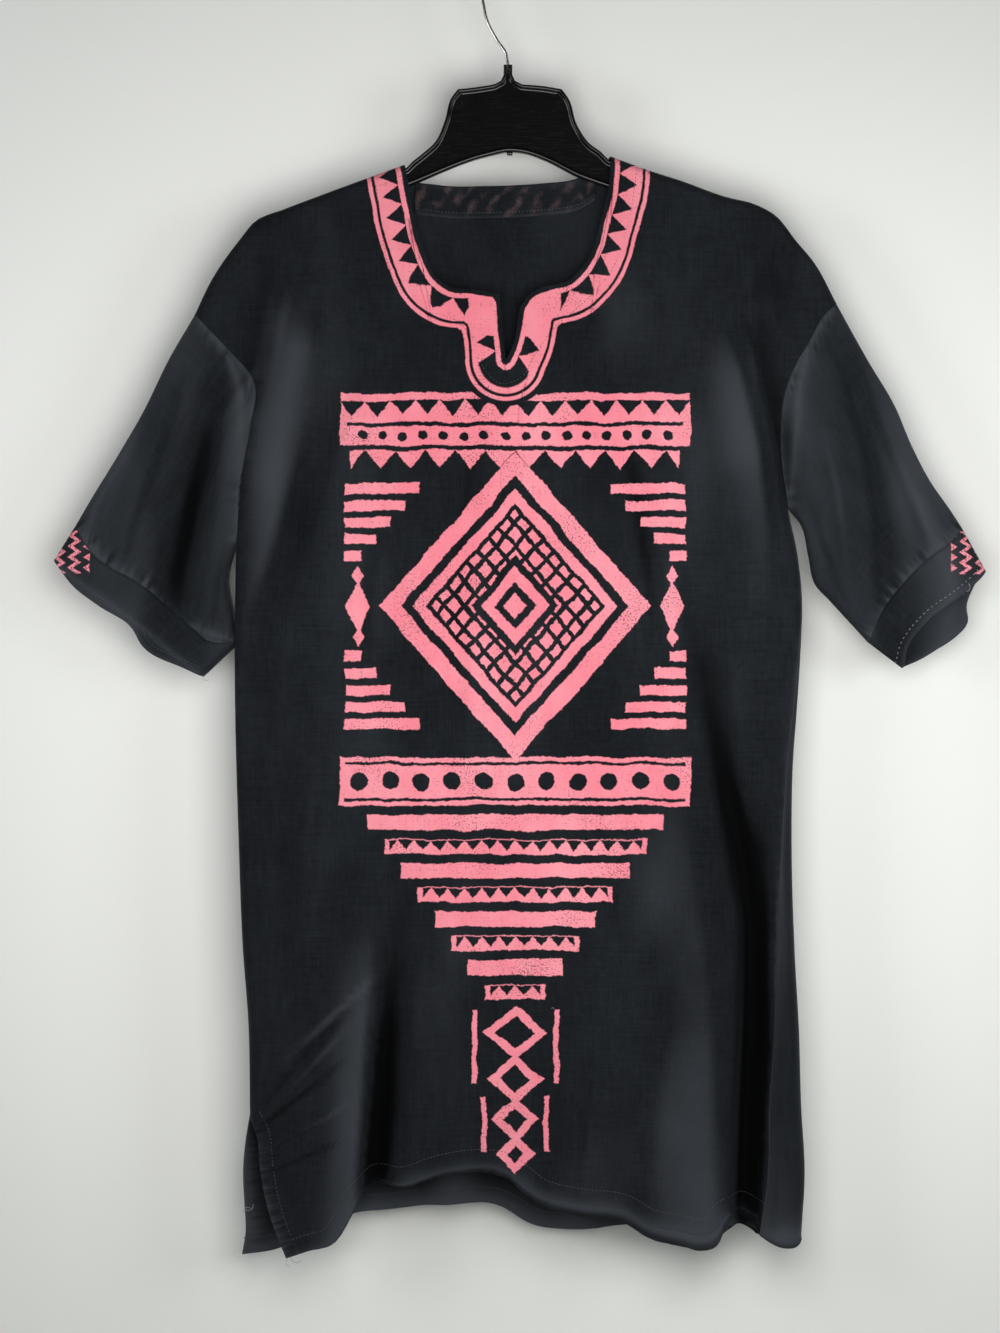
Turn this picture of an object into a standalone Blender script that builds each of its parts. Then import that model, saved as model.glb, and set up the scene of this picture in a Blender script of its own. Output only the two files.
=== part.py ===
"""A short-sleeved cotton tunic that hangs on a moulded hanger.

The tunic faces -Y. The origin is the inside of the hook's top, where a rail or a nail holds it.
Tables are in millimetres: across is +X, down is the distance under the hook's inside top.
"""

import math
from collections import namedtuple

import bpy
import numpy as np

MM = 0.001

# Cloth
CLOTH_WALL = 1.2
HEM_WALL = 2.1  # the hems are turned, so they are two layers thick
CUFF_WALL = 1.7
SEAM_GAP = 0.8
SHOULDER_ROUND = 8
SIDE_ROUND_FRONT = 10
SIDE_ROUND_BACK = 28
WRAP_ROUND = 12
SLEEVE_ROUND = 8
FACING_HEIGHT = 28
FACING_WALL = 1.0
FACING_GAP = 0.3

# Hanger and hook
HANGER_DEPTH = 9
HANGER_BEVEL = 1.5
HANGER_WEB = 2.6
HANGER_RIM = 3.2
SHOULDER_CLEARANCE = 3.7
ARM_HEIGHT = 19
STEM_TOP = 81.5
WIRE_RADIUS = 1.4
HOOK_RADIUS = 21.8
WIRE_GAP = 0.3

Spot = namedtuple("Spot", "across down")
Trough = namedtuple("Trough", "left right path")
Bend = namedtuple("Bend", "across down depth")
Level = namedtuple("Level", "down value")

# Outline of the shoulders, from each armhole to the neck
SHOULDER_LEFT = [
    Spot(-263, 291), Spot(-249, 262), Spot(-223, 225), Spot(-213, 213),
    Spot(-187, 202), Spot(-158, 191), Spot(-131, 181), Spot(-87, 165),
]
SHOULDER_RIGHT = [
    Spot(86, 158), Spot(122, 171), Spot(144, 178), Spot(183, 192),
    Spot(207, 198), Spot(224, 207), Spot(242, 229), Spot(257, 247), Spot(276, 282),
]

# Neck opening: round, with a slit in the middle of the front
NECK_LEFT = [
    Spot(-87, 165), Spot(-83, 186), Spot(-76, 221), Spot(-69, 242),
    Spot(-59, 262), Spot(-49, 269), Spot(-29, 271), Spot(-7, 275),
]
SLIT_LEFT = [Spot(-7, 275), Spot(-4, 309), Spot(-2, 331)]
SLIT_RIGHT = [Spot(-2, 331), Spot(4, 318), Spot(10, 286)]
NECK_RIGHT = [
    Spot(10, 286), Spot(19, 274), Spot(30, 269), Spot(52, 263),
    Spot(60, 255), Spot(69, 242), Spot(76, 219), Spot(84, 187), Spot(86, 158),
]
NECK_BACK = [
    Spot(-87, 165), Spot(-81, 175), Spot(-60, 180), Spot(-17, 181), Spot(27, 179), Spot(58, 175),
    Spot(86, 158),
]

# Dropped armholes, from the shoulder down to the underarm
ARMHOLE_FRONT_LEFT = [
    Spot(-263, 291), Spot(-236, 319), Spot(-212, 349), Spot(-216, 389), Spot(-222, 422),
    Spot(-227, 485),
]
ARMHOLE_BACK_LEFT = [
    Spot(-263, 291), Spot(-240, 318), Spot(-225, 354), Spot(-223, 396), Spot(-224, 447),
    Spot(-227, 485),
]
ARMHOLE_FRONT_RIGHT = [
    Spot(276, 282), Spot(264, 293), Spot(253, 313), Spot(241, 333), Spot(232, 357), Spot(229, 381),
    Spot(230, 418), Spot(235, 454),
]
ARMHOLE_BACK_RIGHT = [
    Spot(276, 282), Spot(258, 304), Spot(245, 346), Spot(241, 396), Spot(238, 430), Spot(235, 454),
]

# Sides under the arms. On the right the back panel wraps round to the front, up to the seam
SIDE_LEFT = [
    Spot(-227, 485), Spot(-228, 536), Spot(-228, 615), Spot(-225, 731), Spot(-222, 817),
    Spot(-217, 888), Spot(-216, 960),
]
SIDE_RIGHT = [
    Spot(235, 454), Spot(243, 492), Spot(247, 536), Spot(246, 565), Spot(243, 615), Spot(239, 670),
    Spot(238, 731), Spot(241, 835), Spot(244, 888), Spot(246, 954), Spot(249, 1010), Spot(246, 1062),
]
SEAM_INSET_RIGHT = [
    Level(454, 0.5), Level(565, 1.5), Level(615, 4), Level(692, 8), Level(781, 14), Level(850, 19),
    Level(899, 23), Level(960, 29), Level(1062, 36),
]
VENT_FRONT_LEFT = [
    Spot(-216, 960), Spot(-209, 974), Spot(-206, 1001), Spot(-202, 1025), Spot(-196, 1047),
    Spot(-184, 1077),
]
VENT_BACK_LEFT = [
    Spot(-216, 960), Spot(-220, 985), Spot(-222, 1009), Spot(-221, 1035), Spot(-220, 1060),
    Spot(-223, 1079),
]

# Hems, from the left vent to the right side
HEM_FRONT = [
    Spot(-184, 1077), Spot(-163, 1070), Spot(-146, 1064), Spot(-139, 1057), Spot(-132, 1045),
    Spot(-122, 1026), Spot(-110, 1017), Spot(-90, 1016), Spot(-56, 1005), Spot(-42, 1002), Spot(-7, 1002),
    Spot(27, 1025), Spot(61, 1033), Spot(94, 1037), Spot(117, 1049), Spot(141, 1053), Spot(161, 1056),
    Spot(174, 1051), Spot(179, 1042), Spot(193, 1041), Spot(210, 1047),
]
HEM_BACK = [
    Spot(-223, 1079), Spot(-195, 1079), Spot(-166, 1065), Spot(-134, 1050), Spot(-101, 1046),
    Spot(-55, 1041), Spot(-10, 1042), Spot(21, 1059), Spot(87, 1060), Spot(161, 1052),
    Spot(203, 1058), Spot(246, 1062),
]
HEM_WRAP_DROP = 7

# Sleeves and cuffs, from the armhole out
SLEEVE_TOP_LEFT = [
    Spot(-263, 291), Spot(-284, 327), Spot(-307, 374), Spot(-331, 415), Spot(-349, 444),
    Spot(-363, 468),
]
SLEEVE_UNDER_LEFT = [Spot(-227, 485), Spot(-234, 510), Spot(-230, 540), Spot(-225, 566)]
CUFF_SEAM_FRONT_LEFT = [
    Spot(-363, 468), Spot(-349, 491), Spot(-303, 521), Spot(-283, 539), Spot(-262, 556),
    Spot(-251, 565), Spot(-225, 566),
]
CUFF_SEAM_BACK_LEFT = [
    Spot(-363, 468), Spot(-345, 492), Spot(-302, 523), Spot(-264, 553), Spot(-225, 566),
]
CUFF_EDGE_FRONT_LEFT = [
    Spot(-381, 497), Spot(-375, 505), Spot(-365, 518), Spot(-342, 536), Spot(-315, 554), Spot(-307, 569),
    Spot(-271, 588), Spot(-256, 595),
]
CUFF_EDGE_BACK_LEFT = [
    Spot(-381, 497), Spot(-362, 514), Spot(-334, 534), Spot(-300, 560), Spot(-270, 584),
    Spot(-256, 595),
]
SLEEVE_TOP_RIGHT = [
    Spot(276, 282), Spot(302, 329), Spot(325, 368), Spot(339, 401), Spot(354, 430), Spot(372, 456),
    Spot(381, 470),
]
SLEEVE_UNDER_RIGHT = [
    Spot(235, 454), Spot(246, 468), Spot(252, 493), Spot(258, 518), Spot(269, 530), Spot(302, 566),
]
CUFF_SEAM_FRONT_RIGHT = [
    Spot(381, 470), Spot(371, 482), Spot(353, 495), Spot(336, 511), Spot(324, 525), Spot(312, 544),
    Spot(302, 566),
]
CUFF_SEAM_BACK_RIGHT = [
    Spot(381, 470), Spot(369, 487), Spot(351, 500), Spot(332, 520), Spot(302, 566),
]
CUFF_EDGE_FRONT_RIGHT = [
    Spot(401, 506), Spot(394, 514), Spot(380, 526), Spot(350, 549), Spot(334, 571), Spot(331, 588),
]
CUFF_EDGE_BACK_RIGHT = [
    Spot(401, 506), Spot(392, 521), Spot(387, 535), Spot(388, 549), Spot(376, 563), Spot(362, 572),
    Spot(349, 580), Spot(331, 588),
]

# How far the cloth stands in front of and behind the hook's plane, and where the folded left side lies
FRONT_SWELL = [
    Level(150, 9), Level(300, 10), Level(420, 14), Level(700, 21), Level(900, 25), Level(1090, 27),
]
BACK_SWELL = [Level(150, 9), Level(350, 10), Level(600, 13), Level(900, 17), Level(1090, 17)]
LEFT_SIDE_MIDDLE = [
    Level(330, 0), Level(400, -8), Level(480, -12), Level(700, -12), Level(900, -8), Level(1090, -4),
]
SLEEVE_SWELL = 9

# Folds. A positive depth is a trough, a negative one a ridge. Left and right are their half widths
FRONT_FOLDS = [
    Trough(45, 7, [Bend(-198, 235, 0), Bend(-209, 283, 7), Bend(-222, 354, 8), Bend(-232, 420, 0)]),
    Trough(34, 30, [
        Bend(-196, 260, 0), Bend(-180, 320, -8), Bend(-196, 430, -9), Bend(-205, 640, -4),
        Bend(-205, 800, 0),
    ]),
    Trough(24, 20, [
        Bend(-118, 300, 0), Bend(-139, 360, 5), Bend(-159, 419, 8), Bend(-197, 536, 8),
        Bend(-209, 640, 5), Bend(-211, 740, 0),
    ]),
    Trough(12, 14, [Bend(228, 222, 0), Bend(229, 262, 5), Bend(226, 300, 0)]),
    Trough(40, 12, [
        Bend(168, 280, 0), Bend(190, 342, -6), Bend(204, 404, -8), Bend(212, 470, -5),
        Bend(215, 560, 0),
    ]),
    Trough(9, 26, [
        Bend(196, 280, 0), Bend(203, 300, 6), Bend(216, 342, 10), Bend(229, 404, 11),
        Bend(236, 454, 7), Bend(240, 480, 0),
    ]),
    Trough(16, 30, [
        Bend(150, 500, 0), Bend(156, 550, 5), Bend(162, 585, 8), Bend(179, 674, 13), Bend(195, 745, 20),
        Bend(203, 800, 25), Bend(202, 887, 29), Bend(199, 959, 31), Bend(195, 1090, 31),
    ]),
    Trough(70, 20, [Bend(140, 700, 0), Bend(160, 850, -5), Bend(166, 1090, -8)]),
    Trough(9, 34, [
        Bend(-87, 740, 0), Bend(-97, 817, 9), Bend(-104, 887, 17), Bend(-111, 959, 22),
        Bend(-119, 1050, 23),
    ]),
    Trough(40, 9, [Bend(-110, 760, 0), Bend(-122, 887, -6), Bend(-132, 1060, -7)]),
    Trough(14, 14, [Bend(-168, 630, 0), Bend(-178, 720, 4), Bend(-191, 830, 4), Bend(-206, 930, 0)]),
    Trough(16, 16, [Bend(-48, 500, 0), Bend(-44, 590, 2.5), Bend(-52, 700, 0)]),
    Trough(14, 20, [Bend(118, 800, 0), Bend(122, 880, 3), Bend(112, 960, 2.5), Bend(106, 1060, 0)]),
]
BACK_FOLDS = [
    Trough(30, 26, [Bend(-128, 330, 0), Bend(-148, 520, -6), Bend(-160, 800, -8), Bend(-150, 1080, -9)]),
    Trough(24, 36, [Bend(-40, 260, 0), Bend(-58, 560, -4), Bend(-44, 860, -6), Bend(-52, 1080, -7)]),
    Trough(34, 24, [Bend(74, 300, 0), Bend(60, 620, -5), Bend(76, 900, -7), Bend(70, 1080, -7)]),
    Trough(22, 30, [Bend(168, 380, 0), Bend(158, 700, -6), Bend(150, 1080, -8)]),
]
ARMHOLE_RIGHT_FOLD = FRONT_FOLDS[5]
LEFT_SLEEVE_FOLDS = [
    Trough(20, 22, [
        Bend(-232, 300, 0), Bend(-246, 345, 7), Bend(-262, 419, 10), Bend(-274, 462, 10),
        Bend(-287, 510, 9), Bend(-306, 570, 5),
    ]),
    Trough(12, 12, [Bend(-296, 340, 0), Bend(-318, 400, -3), Bend(-350, 470, -3), Bend(-366, 510, 0)]),
]
RIGHT_SLEEVE_FOLDS = [
    ARMHOLE_RIGHT_FOLD,
    Trough(14, 20, [
        Bend(272, 300, 0), Bend(291, 360, 6), Bend(303, 404, 8), Bend(313, 462, 8), Bend(316, 560, 5),
    ]),
    Trough(16, 12, [Bend(318, 400, 0), Bend(346, 450, -3), Bend(372, 500, -2)]),
]

# Grid lines of the panels, as shares of a line
EDGE_SHARES = [0, 0.01, 0.035, 0.08, 0.16, 0.26, 0.37, 0.49, 0.61, 0.74, 0.87, 1]
WRAP_SHARES = [0, 0.1, 0.3, 0.6, 1]
WRAP_COLUMNS = len(WRAP_SHARES) - 1
NECK_SHARES = [0, 0.015, 0.05, 0.12, 0.25, 0.4, 0.55, 0.7, 0.85, 1]
BACK_NECK_SHARES = [0, 0.03, 0.08, 0.16, 0.30, 0.44, 0.56, 0.70, 0.84, 0.92, 0.97, 1]
FACING_SHARES = [0.08, 0.16, 0.30, 0.44, 0.56, 0.70, 0.84, 0.92]
ARMHOLE_SHARES = [0, 0.006, 0.025, 0.06, 0.13, 0.23, 0.35, 0.48, 0.62, 0.76, 0.89, 1]
BODY_SHARES = [0.02, 0.07, 0.14, 0.22, 0.30, 0.38, 0.46, 0.54, 0.62, 0.70, 0.775]
VENT_SHARES = [0.825, 0.87, 0.92, 0.96, 0.973, 0.976, 1]
FIRST_HEM_ROW = -2  # the rows from here on lie in the hem's turn
SLEEVE_SHARES = [0, 0.03, 0.1, 0.2, 0.33, 0.47, 0.61, 0.75, 0.88, 1]
CUFF_SHARES = [0, 0.1, 0.5, 0.9, 1]
ARMHOLE_ROWS = len(ARMHOLE_SHARES)
VENT_START = BODY_SHARES[-1]
LOWER_START = 0.25  # share of a panel's height that lies above the underarm
DOWN = np.concatenate([
    np.array(ARMHOLE_SHARES) * LOWER_START,
    LOWER_START + (1 - LOWER_START) * np.array(BODY_SHARES + VENT_SHARES),
])
FRONT_HEM_SPREAD = 0.35  # how evenly the hem's points are spread, from 0 to 1
BACK_HEM_SPREAD = 0.5
WRAP_INSET = 9.0  # from the right armhole to the back's first wrapped column
SLEEVE_EASE = 0.4  # share of a sleeve in which it eases from the armhole to its own form


def points(spots):
    """Spots of a table as points of the front view, with height up."""
    return np.array([(spot.across, -spot.down) for spot in spots], float)


def smooth(spots, steps=10):
    """A dense smooth line through the spots of a table."""
    knots = points(spots)
    length = np.linalg.norm(np.diff(knots, axis=0), axis=1)[:, None]
    slope = np.diff(knots, axis=0) / length
    inner = (slope[:-1] * length[1:] + slope[1:] * length[:-1]) / (length[1:] + length[:-1])
    tangent = np.vstack([slope[:1], inner, slope[-1:]])
    s = np.linspace(0, 1, steps, endpoint=False)[:, None]
    spans = []
    for k, span in enumerate(length):
        start = (2 * s**3 - 3 * s**2 + 1) * knots[k] + (s**3 - 2 * s**2 + s) * tangent[k] * span
        end = (3 * s**2 - 2 * s**3) * knots[k + 1] + (s**3 - s**2) * tangent[k + 1] * span
        spans.append(start + end)
    return np.vstack([*spans, knots[-1:]])


def along(line, shares):
    """Points of a line at these shares of its length."""
    steps = np.linalg.norm(np.diff(line, axis=0), axis=1)
    reached = np.concatenate([[0], np.cumsum(steps)])
    wanted = np.asarray(shares) * reached[-1]
    return np.stack([np.interp(wanted, reached, line[:, k]) for k in range(2)], axis=-1)


def distance(places, line):
    """How far each place lies from a line, in the front view."""
    flat = places.reshape(-1, 2)
    step = np.diff(line, axis=0)
    offset = flat[:, None] - line[None, :-1]
    share = np.clip((offset * step).sum(-1) / np.maximum((step**2).sum(-1), 1e-9), 0, 1)
    gap = np.linalg.norm(offset - share[..., None] * step, axis=-1)
    return gap.min(axis=1).reshape(places.shape[:-1])


def rounded(places, line, radius):
    """0 on a folded edge and 1 past its radius, as a quarter circle."""
    share = 1 - np.clip(distance(places, line) / radius, 0, 1)
    return np.sqrt(1 - share**2)


def level(places, table):
    """A table's value at each place's height."""
    return np.interp(-places[..., 1], [row.down for row in table], [row.value for row in table])


def fold_depth(places, folds):
    """Sum of the folds' depths at each place."""
    total = np.zeros(places.shape[:-1])
    for fold in folds:
        downs = [bend.down for bend in fold.path]
        middle = np.interp(-places[..., 1], downs, [bend.across for bend in fold.path])
        depth = np.interp(-places[..., 1], downs, [bend.depth for bend in fold.path], left=0)
        offset = places[..., 0] - middle
        share = np.clip(np.where(offset < 0, -offset / fold.left, offset / fold.right), 0, 1)
        total += depth * (1 + np.cos(math.pi * share)) / 2
    return total


def patch(top, bottom, left, right, across, down):
    """Places of a four-sided panel between its edges (a Coons patch)."""
    u = np.asarray(across)[None, :, None]
    v = np.asarray(down)[:, None, None]
    sides = (1 - u) * left[:, None] + u * right[:, None]
    ends = (1 - v) * top[None] + v * bottom[None]
    corners = (1 - v) * ((1 - u) * top[0] + u * top[-1]) + v * ((1 - u) * bottom[0] + u * bottom[-1])
    return sides + ends - corners


def with_depth(places, depth):
    """Points in space from places of the front view and their depth along Y."""
    return np.stack([places[..., 0], depth, places[..., 1]], axis=-1)


def body_middle(places):
    """Depth of the plane where the front and back panels meet."""
    left_side = np.clip(-places[..., 0] / 100, 0, 1)
    return level(places, LEFT_SIDE_MIDDLE) * left_side


# Edges that fold round from front to back
shoulder_lines = [smooth(SHOULDER_LEFT), smooth(SHOULDER_RIGHT)]
left_back_side = np.vstack([smooth(SIDE_LEFT), smooth(VENT_BACK_LEFT)])
left_front_side = np.vstack([points(ARMHOLE_FRONT_LEFT[2:]), left_back_side])
right_side = smooth(SIDE_RIGHT)


def front_surface(places):
    """Depth of the front of the body."""
    middle = body_middle(places)
    flat = fold_depth(places, FRONT_FOLDS) - level(places, FRONT_SWELL)
    share = rounded(places, left_front_side, SIDE_ROUND_FRONT) * rounded(places, right_side, WRAP_ROUND)
    for line in shoulder_lines:
        share = share * rounded(places, line, SHOULDER_ROUND)
    return middle + (flat - middle) * share


def back_surface(places):
    """Depth of the back of the body."""
    middle = body_middle(places)
    flat = fold_depth(places, BACK_FOLDS) + level(places, BACK_SWELL)
    share = rounded(places, left_back_side, SIDE_ROUND_BACK) * rounded(places, right_side, WRAP_ROUND)
    for line in shoulder_lines:
        share = share * rounded(places, line, SHOULDER_ROUND)
    return middle + (flat - middle) * share


def rows_of_side(armhole, side, end):
    """Points down one side of a panel: armhole, side seam, then vent or hem."""
    seam = along(smooth(side), [share / VENT_START for share in BODY_SHARES])
    armhole_points = along(smooth(armhole), ARMHOLE_SHARES)
    vent = along(smooth(end), [(share - VENT_START) / (1 - VENT_START) for share in VENT_SHARES])
    return np.vstack([armhole_points, seam, vent])


def shares_across(line):
    """Where a line's points lie between its ends, across."""
    return (line[:, 0] - line[0, 0]) / (line[-1, 0] - line[0, 0])


def hem_points(spots, top, mix):
    """Hem points under a panel's top points, partly spread out evenly."""
    shares = (1 - mix) * shares_across(top) + mix * np.linspace(0, 1, len(top))
    line = smooth(spots)
    wanted = line[0, 0] + shares * (line[-1, 0] - line[0, 0])
    return np.stack([wanted, np.interp(wanted, line[:, 0], line[:, 1])], axis=-1), shares


def front_panel():
    """Outer points of the front, row by row."""
    shoulder_left = along(smooth(SHOULDER_LEFT), EDGE_SHARES)
    shoulder_right = along(smooth(SHOULDER_RIGHT), [1 - share for share in EDGE_SHARES[::-1]])
    top = np.vstack([
        shoulder_left[:-1],
        along(smooth(NECK_LEFT), NECK_SHARES)[:-1],
        along(smooth(SLIT_LEFT), [0, 0.5, 1])[:-1],
        along(smooth(SLIT_RIGHT), [0, 0.5, 1])[:-1],
        along(smooth(NECK_RIGHT), [1 - share for share in NECK_SHARES[::-1]])[:-1],
        shoulder_right,
    ])
    bottom, across = hem_points(HEM_FRONT, top, FRONT_HEM_SPREAD)
    left = rows_of_side(ARMHOLE_FRONT_LEFT, SIDE_LEFT, VENT_FRONT_LEFT)
    right = right_edge_rows()
    right = np.vstack([along(smooth(ARMHOLE_FRONT_RIGHT), ARMHOLE_SHARES), seam_places(right)])
    right[-1] = bottom[-1]
    places = patch(top, bottom, left, right, across, DOWN)
    return with_depth(places, front_surface(places))


def right_edge_rows():
    """Points of the right side's folded edge, one for each row under the arm."""
    return along(right_side, BODY_SHARES + VENT_SHARES)


def seam_places(edge):
    """Where the right side seam lies: inside the folded edge, more so towards the hem."""
    seam = edge.copy()
    seam[:, 0] -= level(edge, SEAM_INSET_RIGHT)
    return seam


def back_panel():
    """Outer points of the back, row by row. Its last columns wrap round the right edge to the front."""
    shoulder_left = along(smooth(SHOULDER_LEFT), EDGE_SHARES)
    shoulder_right = along(smooth(SHOULDER_RIGHT), [1 - share for share in EDGE_SHARES[::-1]])
    top = np.vstack([
        shoulder_left[:-1],
        along(smooth(NECK_BACK), BACK_NECK_SHARES)[:-1],
        shoulder_right[:-WRAP_COLUMNS],
    ])
    bottom, across = hem_points(HEM_BACK, top, BACK_HEM_SPREAD)
    left = rows_of_side(ARMHOLE_BACK_LEFT, SIDE_LEFT, VENT_BACK_LEFT)
    armhole = along(smooth(ARMHOLE_BACK_RIGHT), ARMHOLE_SHARES)
    fade = np.array(ARMHOLE_SHARES)[:, None]
    inner = armhole + (top[-1] - armhole[0]) * (1 - fade) - np.array([WRAP_INSET, 0]) * fade
    edge = right_edge_rows()
    main = patch(top, bottom, left, np.vstack([inner, edge]), across, DOWN)
    main = with_depth(main, back_surface(main))

    corner_top = shoulder_right[-WRAP_COLUMNS - 1:]
    corner_shares = (corner_top[:, 0] - corner_top[0, 0]) / (corner_top[-1, 0] - corner_top[0, 0])
    corner_bottom = inner[-1] + corner_shares[:, None] * (armhole[-1] - inner[-1])
    corner = patch(corner_top, corner_bottom, inner, armhole, corner_shares, ARMHOLE_SHARES)
    corner = with_depth(corner, back_surface(corner))

    seam = seam_places(edge)
    wrap = edge[:, None] + np.array(WRAP_SHARES)[None, :, None] * (seam - edge)[:, None]
    drop = np.sin(math.pi * np.array(WRAP_SHARES) ** 0.7)
    wrap[-1, :, 1] -= HEM_WRAP_DROP * drop
    wrap = with_depth(wrap, front_surface(wrap))
    return np.concatenate([main, np.concatenate([corner, wrap])[:, 1:]], axis=1)


def sleeve_surface(places, folds, top, under, side, middle):
    """Depth of one layer of a sleeve. Side is -1 for its front and 1 for its back."""
    flat = side * SLEEVE_SWELL + (fold_depth(places, folds) if side < 0 else 0)
    share = rounded(places, top, SLEEVE_ROUND) * rounded(places, under, SLEEVE_ROUND)
    return middle + (flat - middle) * share


def sleeve(armhole, panel_edges, top, under, seams, cuff_edges, folds, under_middle):
    """Outer points of a sleeve and its cuff: the front layer, then the back layer towards the top."""
    top_line, under_line = smooth(top), smooth(under)
    whole_top = np.vstack([top_line, points(cuff_edges[0][:1])])
    whole_under = np.vstack([under_line, points(cuff_edges[0][-1:])])
    layers, cuffs = [], []
    for side, edge, seam, cuff_edge in zip((-1, 1), armhole, seams, cuff_edges):
        start = along(smooth(edge), ARMHOLE_SHARES)
        end = along(smooth(seam), ARMHOLE_SHARES)
        places = patch(
            start, end, along(top_line, SLEEVE_SHARES), along(under_line, SLEEVE_SHARES),
            ARMHOLE_SHARES, SLEEVE_SHARES,
        )
        middle = under_middle * np.array(ARMHOLE_SHARES)[None, :] ** 3
        depth = sleeve_surface(places, folds, whole_top, whole_under, side, middle)
        change = panel_edges[(side + 1) // 2] - depth[0]
        fade = np.clip(1 - np.array(SLEEVE_SHARES) / SLEEVE_EASE, 0, 1)[:, None] ** 2
        layers.append(with_depth(places, depth + change * fade))
        rim = along(smooth(cuff_edge), ARMHOLE_SHARES)
        band = end[None] + np.array(CUFF_SHARES)[:, None, None] * (rim - end)[None]
        cuffs.append(with_depth(band, sleeve_surface(band, folds, whole_top, whole_under, side, middle)))
    return ring_of(*layers), ring_of(*cuffs)


def ring_of(front, back):
    """Front and back layers joined as rings of points."""
    front[:, [0, -1], 1] = (front[:, [0, -1], 1] + back[:, [0, -1], 1]) / 2
    return np.concatenate([front, back[:, -2:0:-1]], axis=1)


def normals_of(grid, closed=False):
    """Outward normals of a panel whose rows run down and whose columns run to the right."""
    if closed:
        across = np.roll(grid, -1, axis=1) - np.roll(grid, 1, axis=1)
    else:
        across = np.gradient(grid, axis=1)
    down = np.gradient(grid, axis=0)
    normal = np.cross(down, across)
    return normal / np.linalg.norm(normal, axis=-1, keepdims=True)


def share_normals(*edges):
    """Gives panels that meet along a seam the same normals there."""
    mean = sum(edges)
    mean = mean / np.linalg.norm(mean, axis=-1, keepdims=True)
    for edge in edges:
        edge[...] = mean


def pull_in(edge, inner):
    """Moves a panel's edge half the seam's gap towards its next line of points."""
    step = inner - edge
    edge += step * (SEAM_GAP / 2 / np.linalg.norm(step, axis=-1, keepdims=True))


def wall(name, grid, normals, thickness, closed=False):
    """A closed mesh between a panel's outer points and the same points moved in."""
    rows, columns = grid.shape[:2]
    inner = grid - normals * np.asarray(thickness).reshape(-1, 1, 1)
    vertices = np.concatenate([grid.reshape(-1, 3), inner.reshape(-1, 3)]) * MM
    count = rows * columns
    faces = []
    spans = columns if closed else columns - 1
    for row in range(rows - 1):
        for column in range(spans):
            after = (column + 1) % columns
            a, b = row * columns + column, row * columns + after
            c, d = a + columns, b + columns
            faces.append((a, c, d, b))
            faces.append((a + count, b + count, d + count, c + count))
    for column in range(spans):
        after = (column + 1) % columns
        faces.append((column, after, after + count, column + count))
        low = (rows - 1) * columns
        faces.append((low + after, low + column, low + column + count, low + after + count))
    if not closed:
        for row in range(rows - 1):
            a, b = row * columns, (row + 1) * columns
            faces.append((b, a, a + count, b + count))
            a, b = a + columns - 1, b + columns - 1
            faces.append((a, b, b + count, a + count))
    return add_mesh(name, vertices, faces)


def add_mesh(name, vertices, faces):
    """A new object from vertices in metres and faces."""
    mesh = bpy.data.meshes.new(name)
    mesh.from_pydata([tuple(vertex) for vertex in vertices], [], faces)
    mesh.update()
    thing = bpy.data.objects.new(name, mesh)
    bpy.context.scene.collection.objects.link(thing)
    thing.parent = bpy.data.objects["hang_point"]
    return thing


def paint(thing, colour, roughness, metallic=0.0):
    """A material of its own for one object."""
    material = bpy.data.materials.new(thing.name + "_material")
    material.use_nodes = True
    shader = material.node_tree.nodes["Principled BSDF"]
    shader.inputs["Base Color"].default_value = (*colour, 1)
    shader.inputs["Roughness"].default_value = roughness
    shader.inputs["Metallic"].default_value = metallic
    thing.data.materials.append(material)


def clear_scene():
    for thing in list(bpy.data.objects):
        bpy.data.objects.remove(thing)


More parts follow.
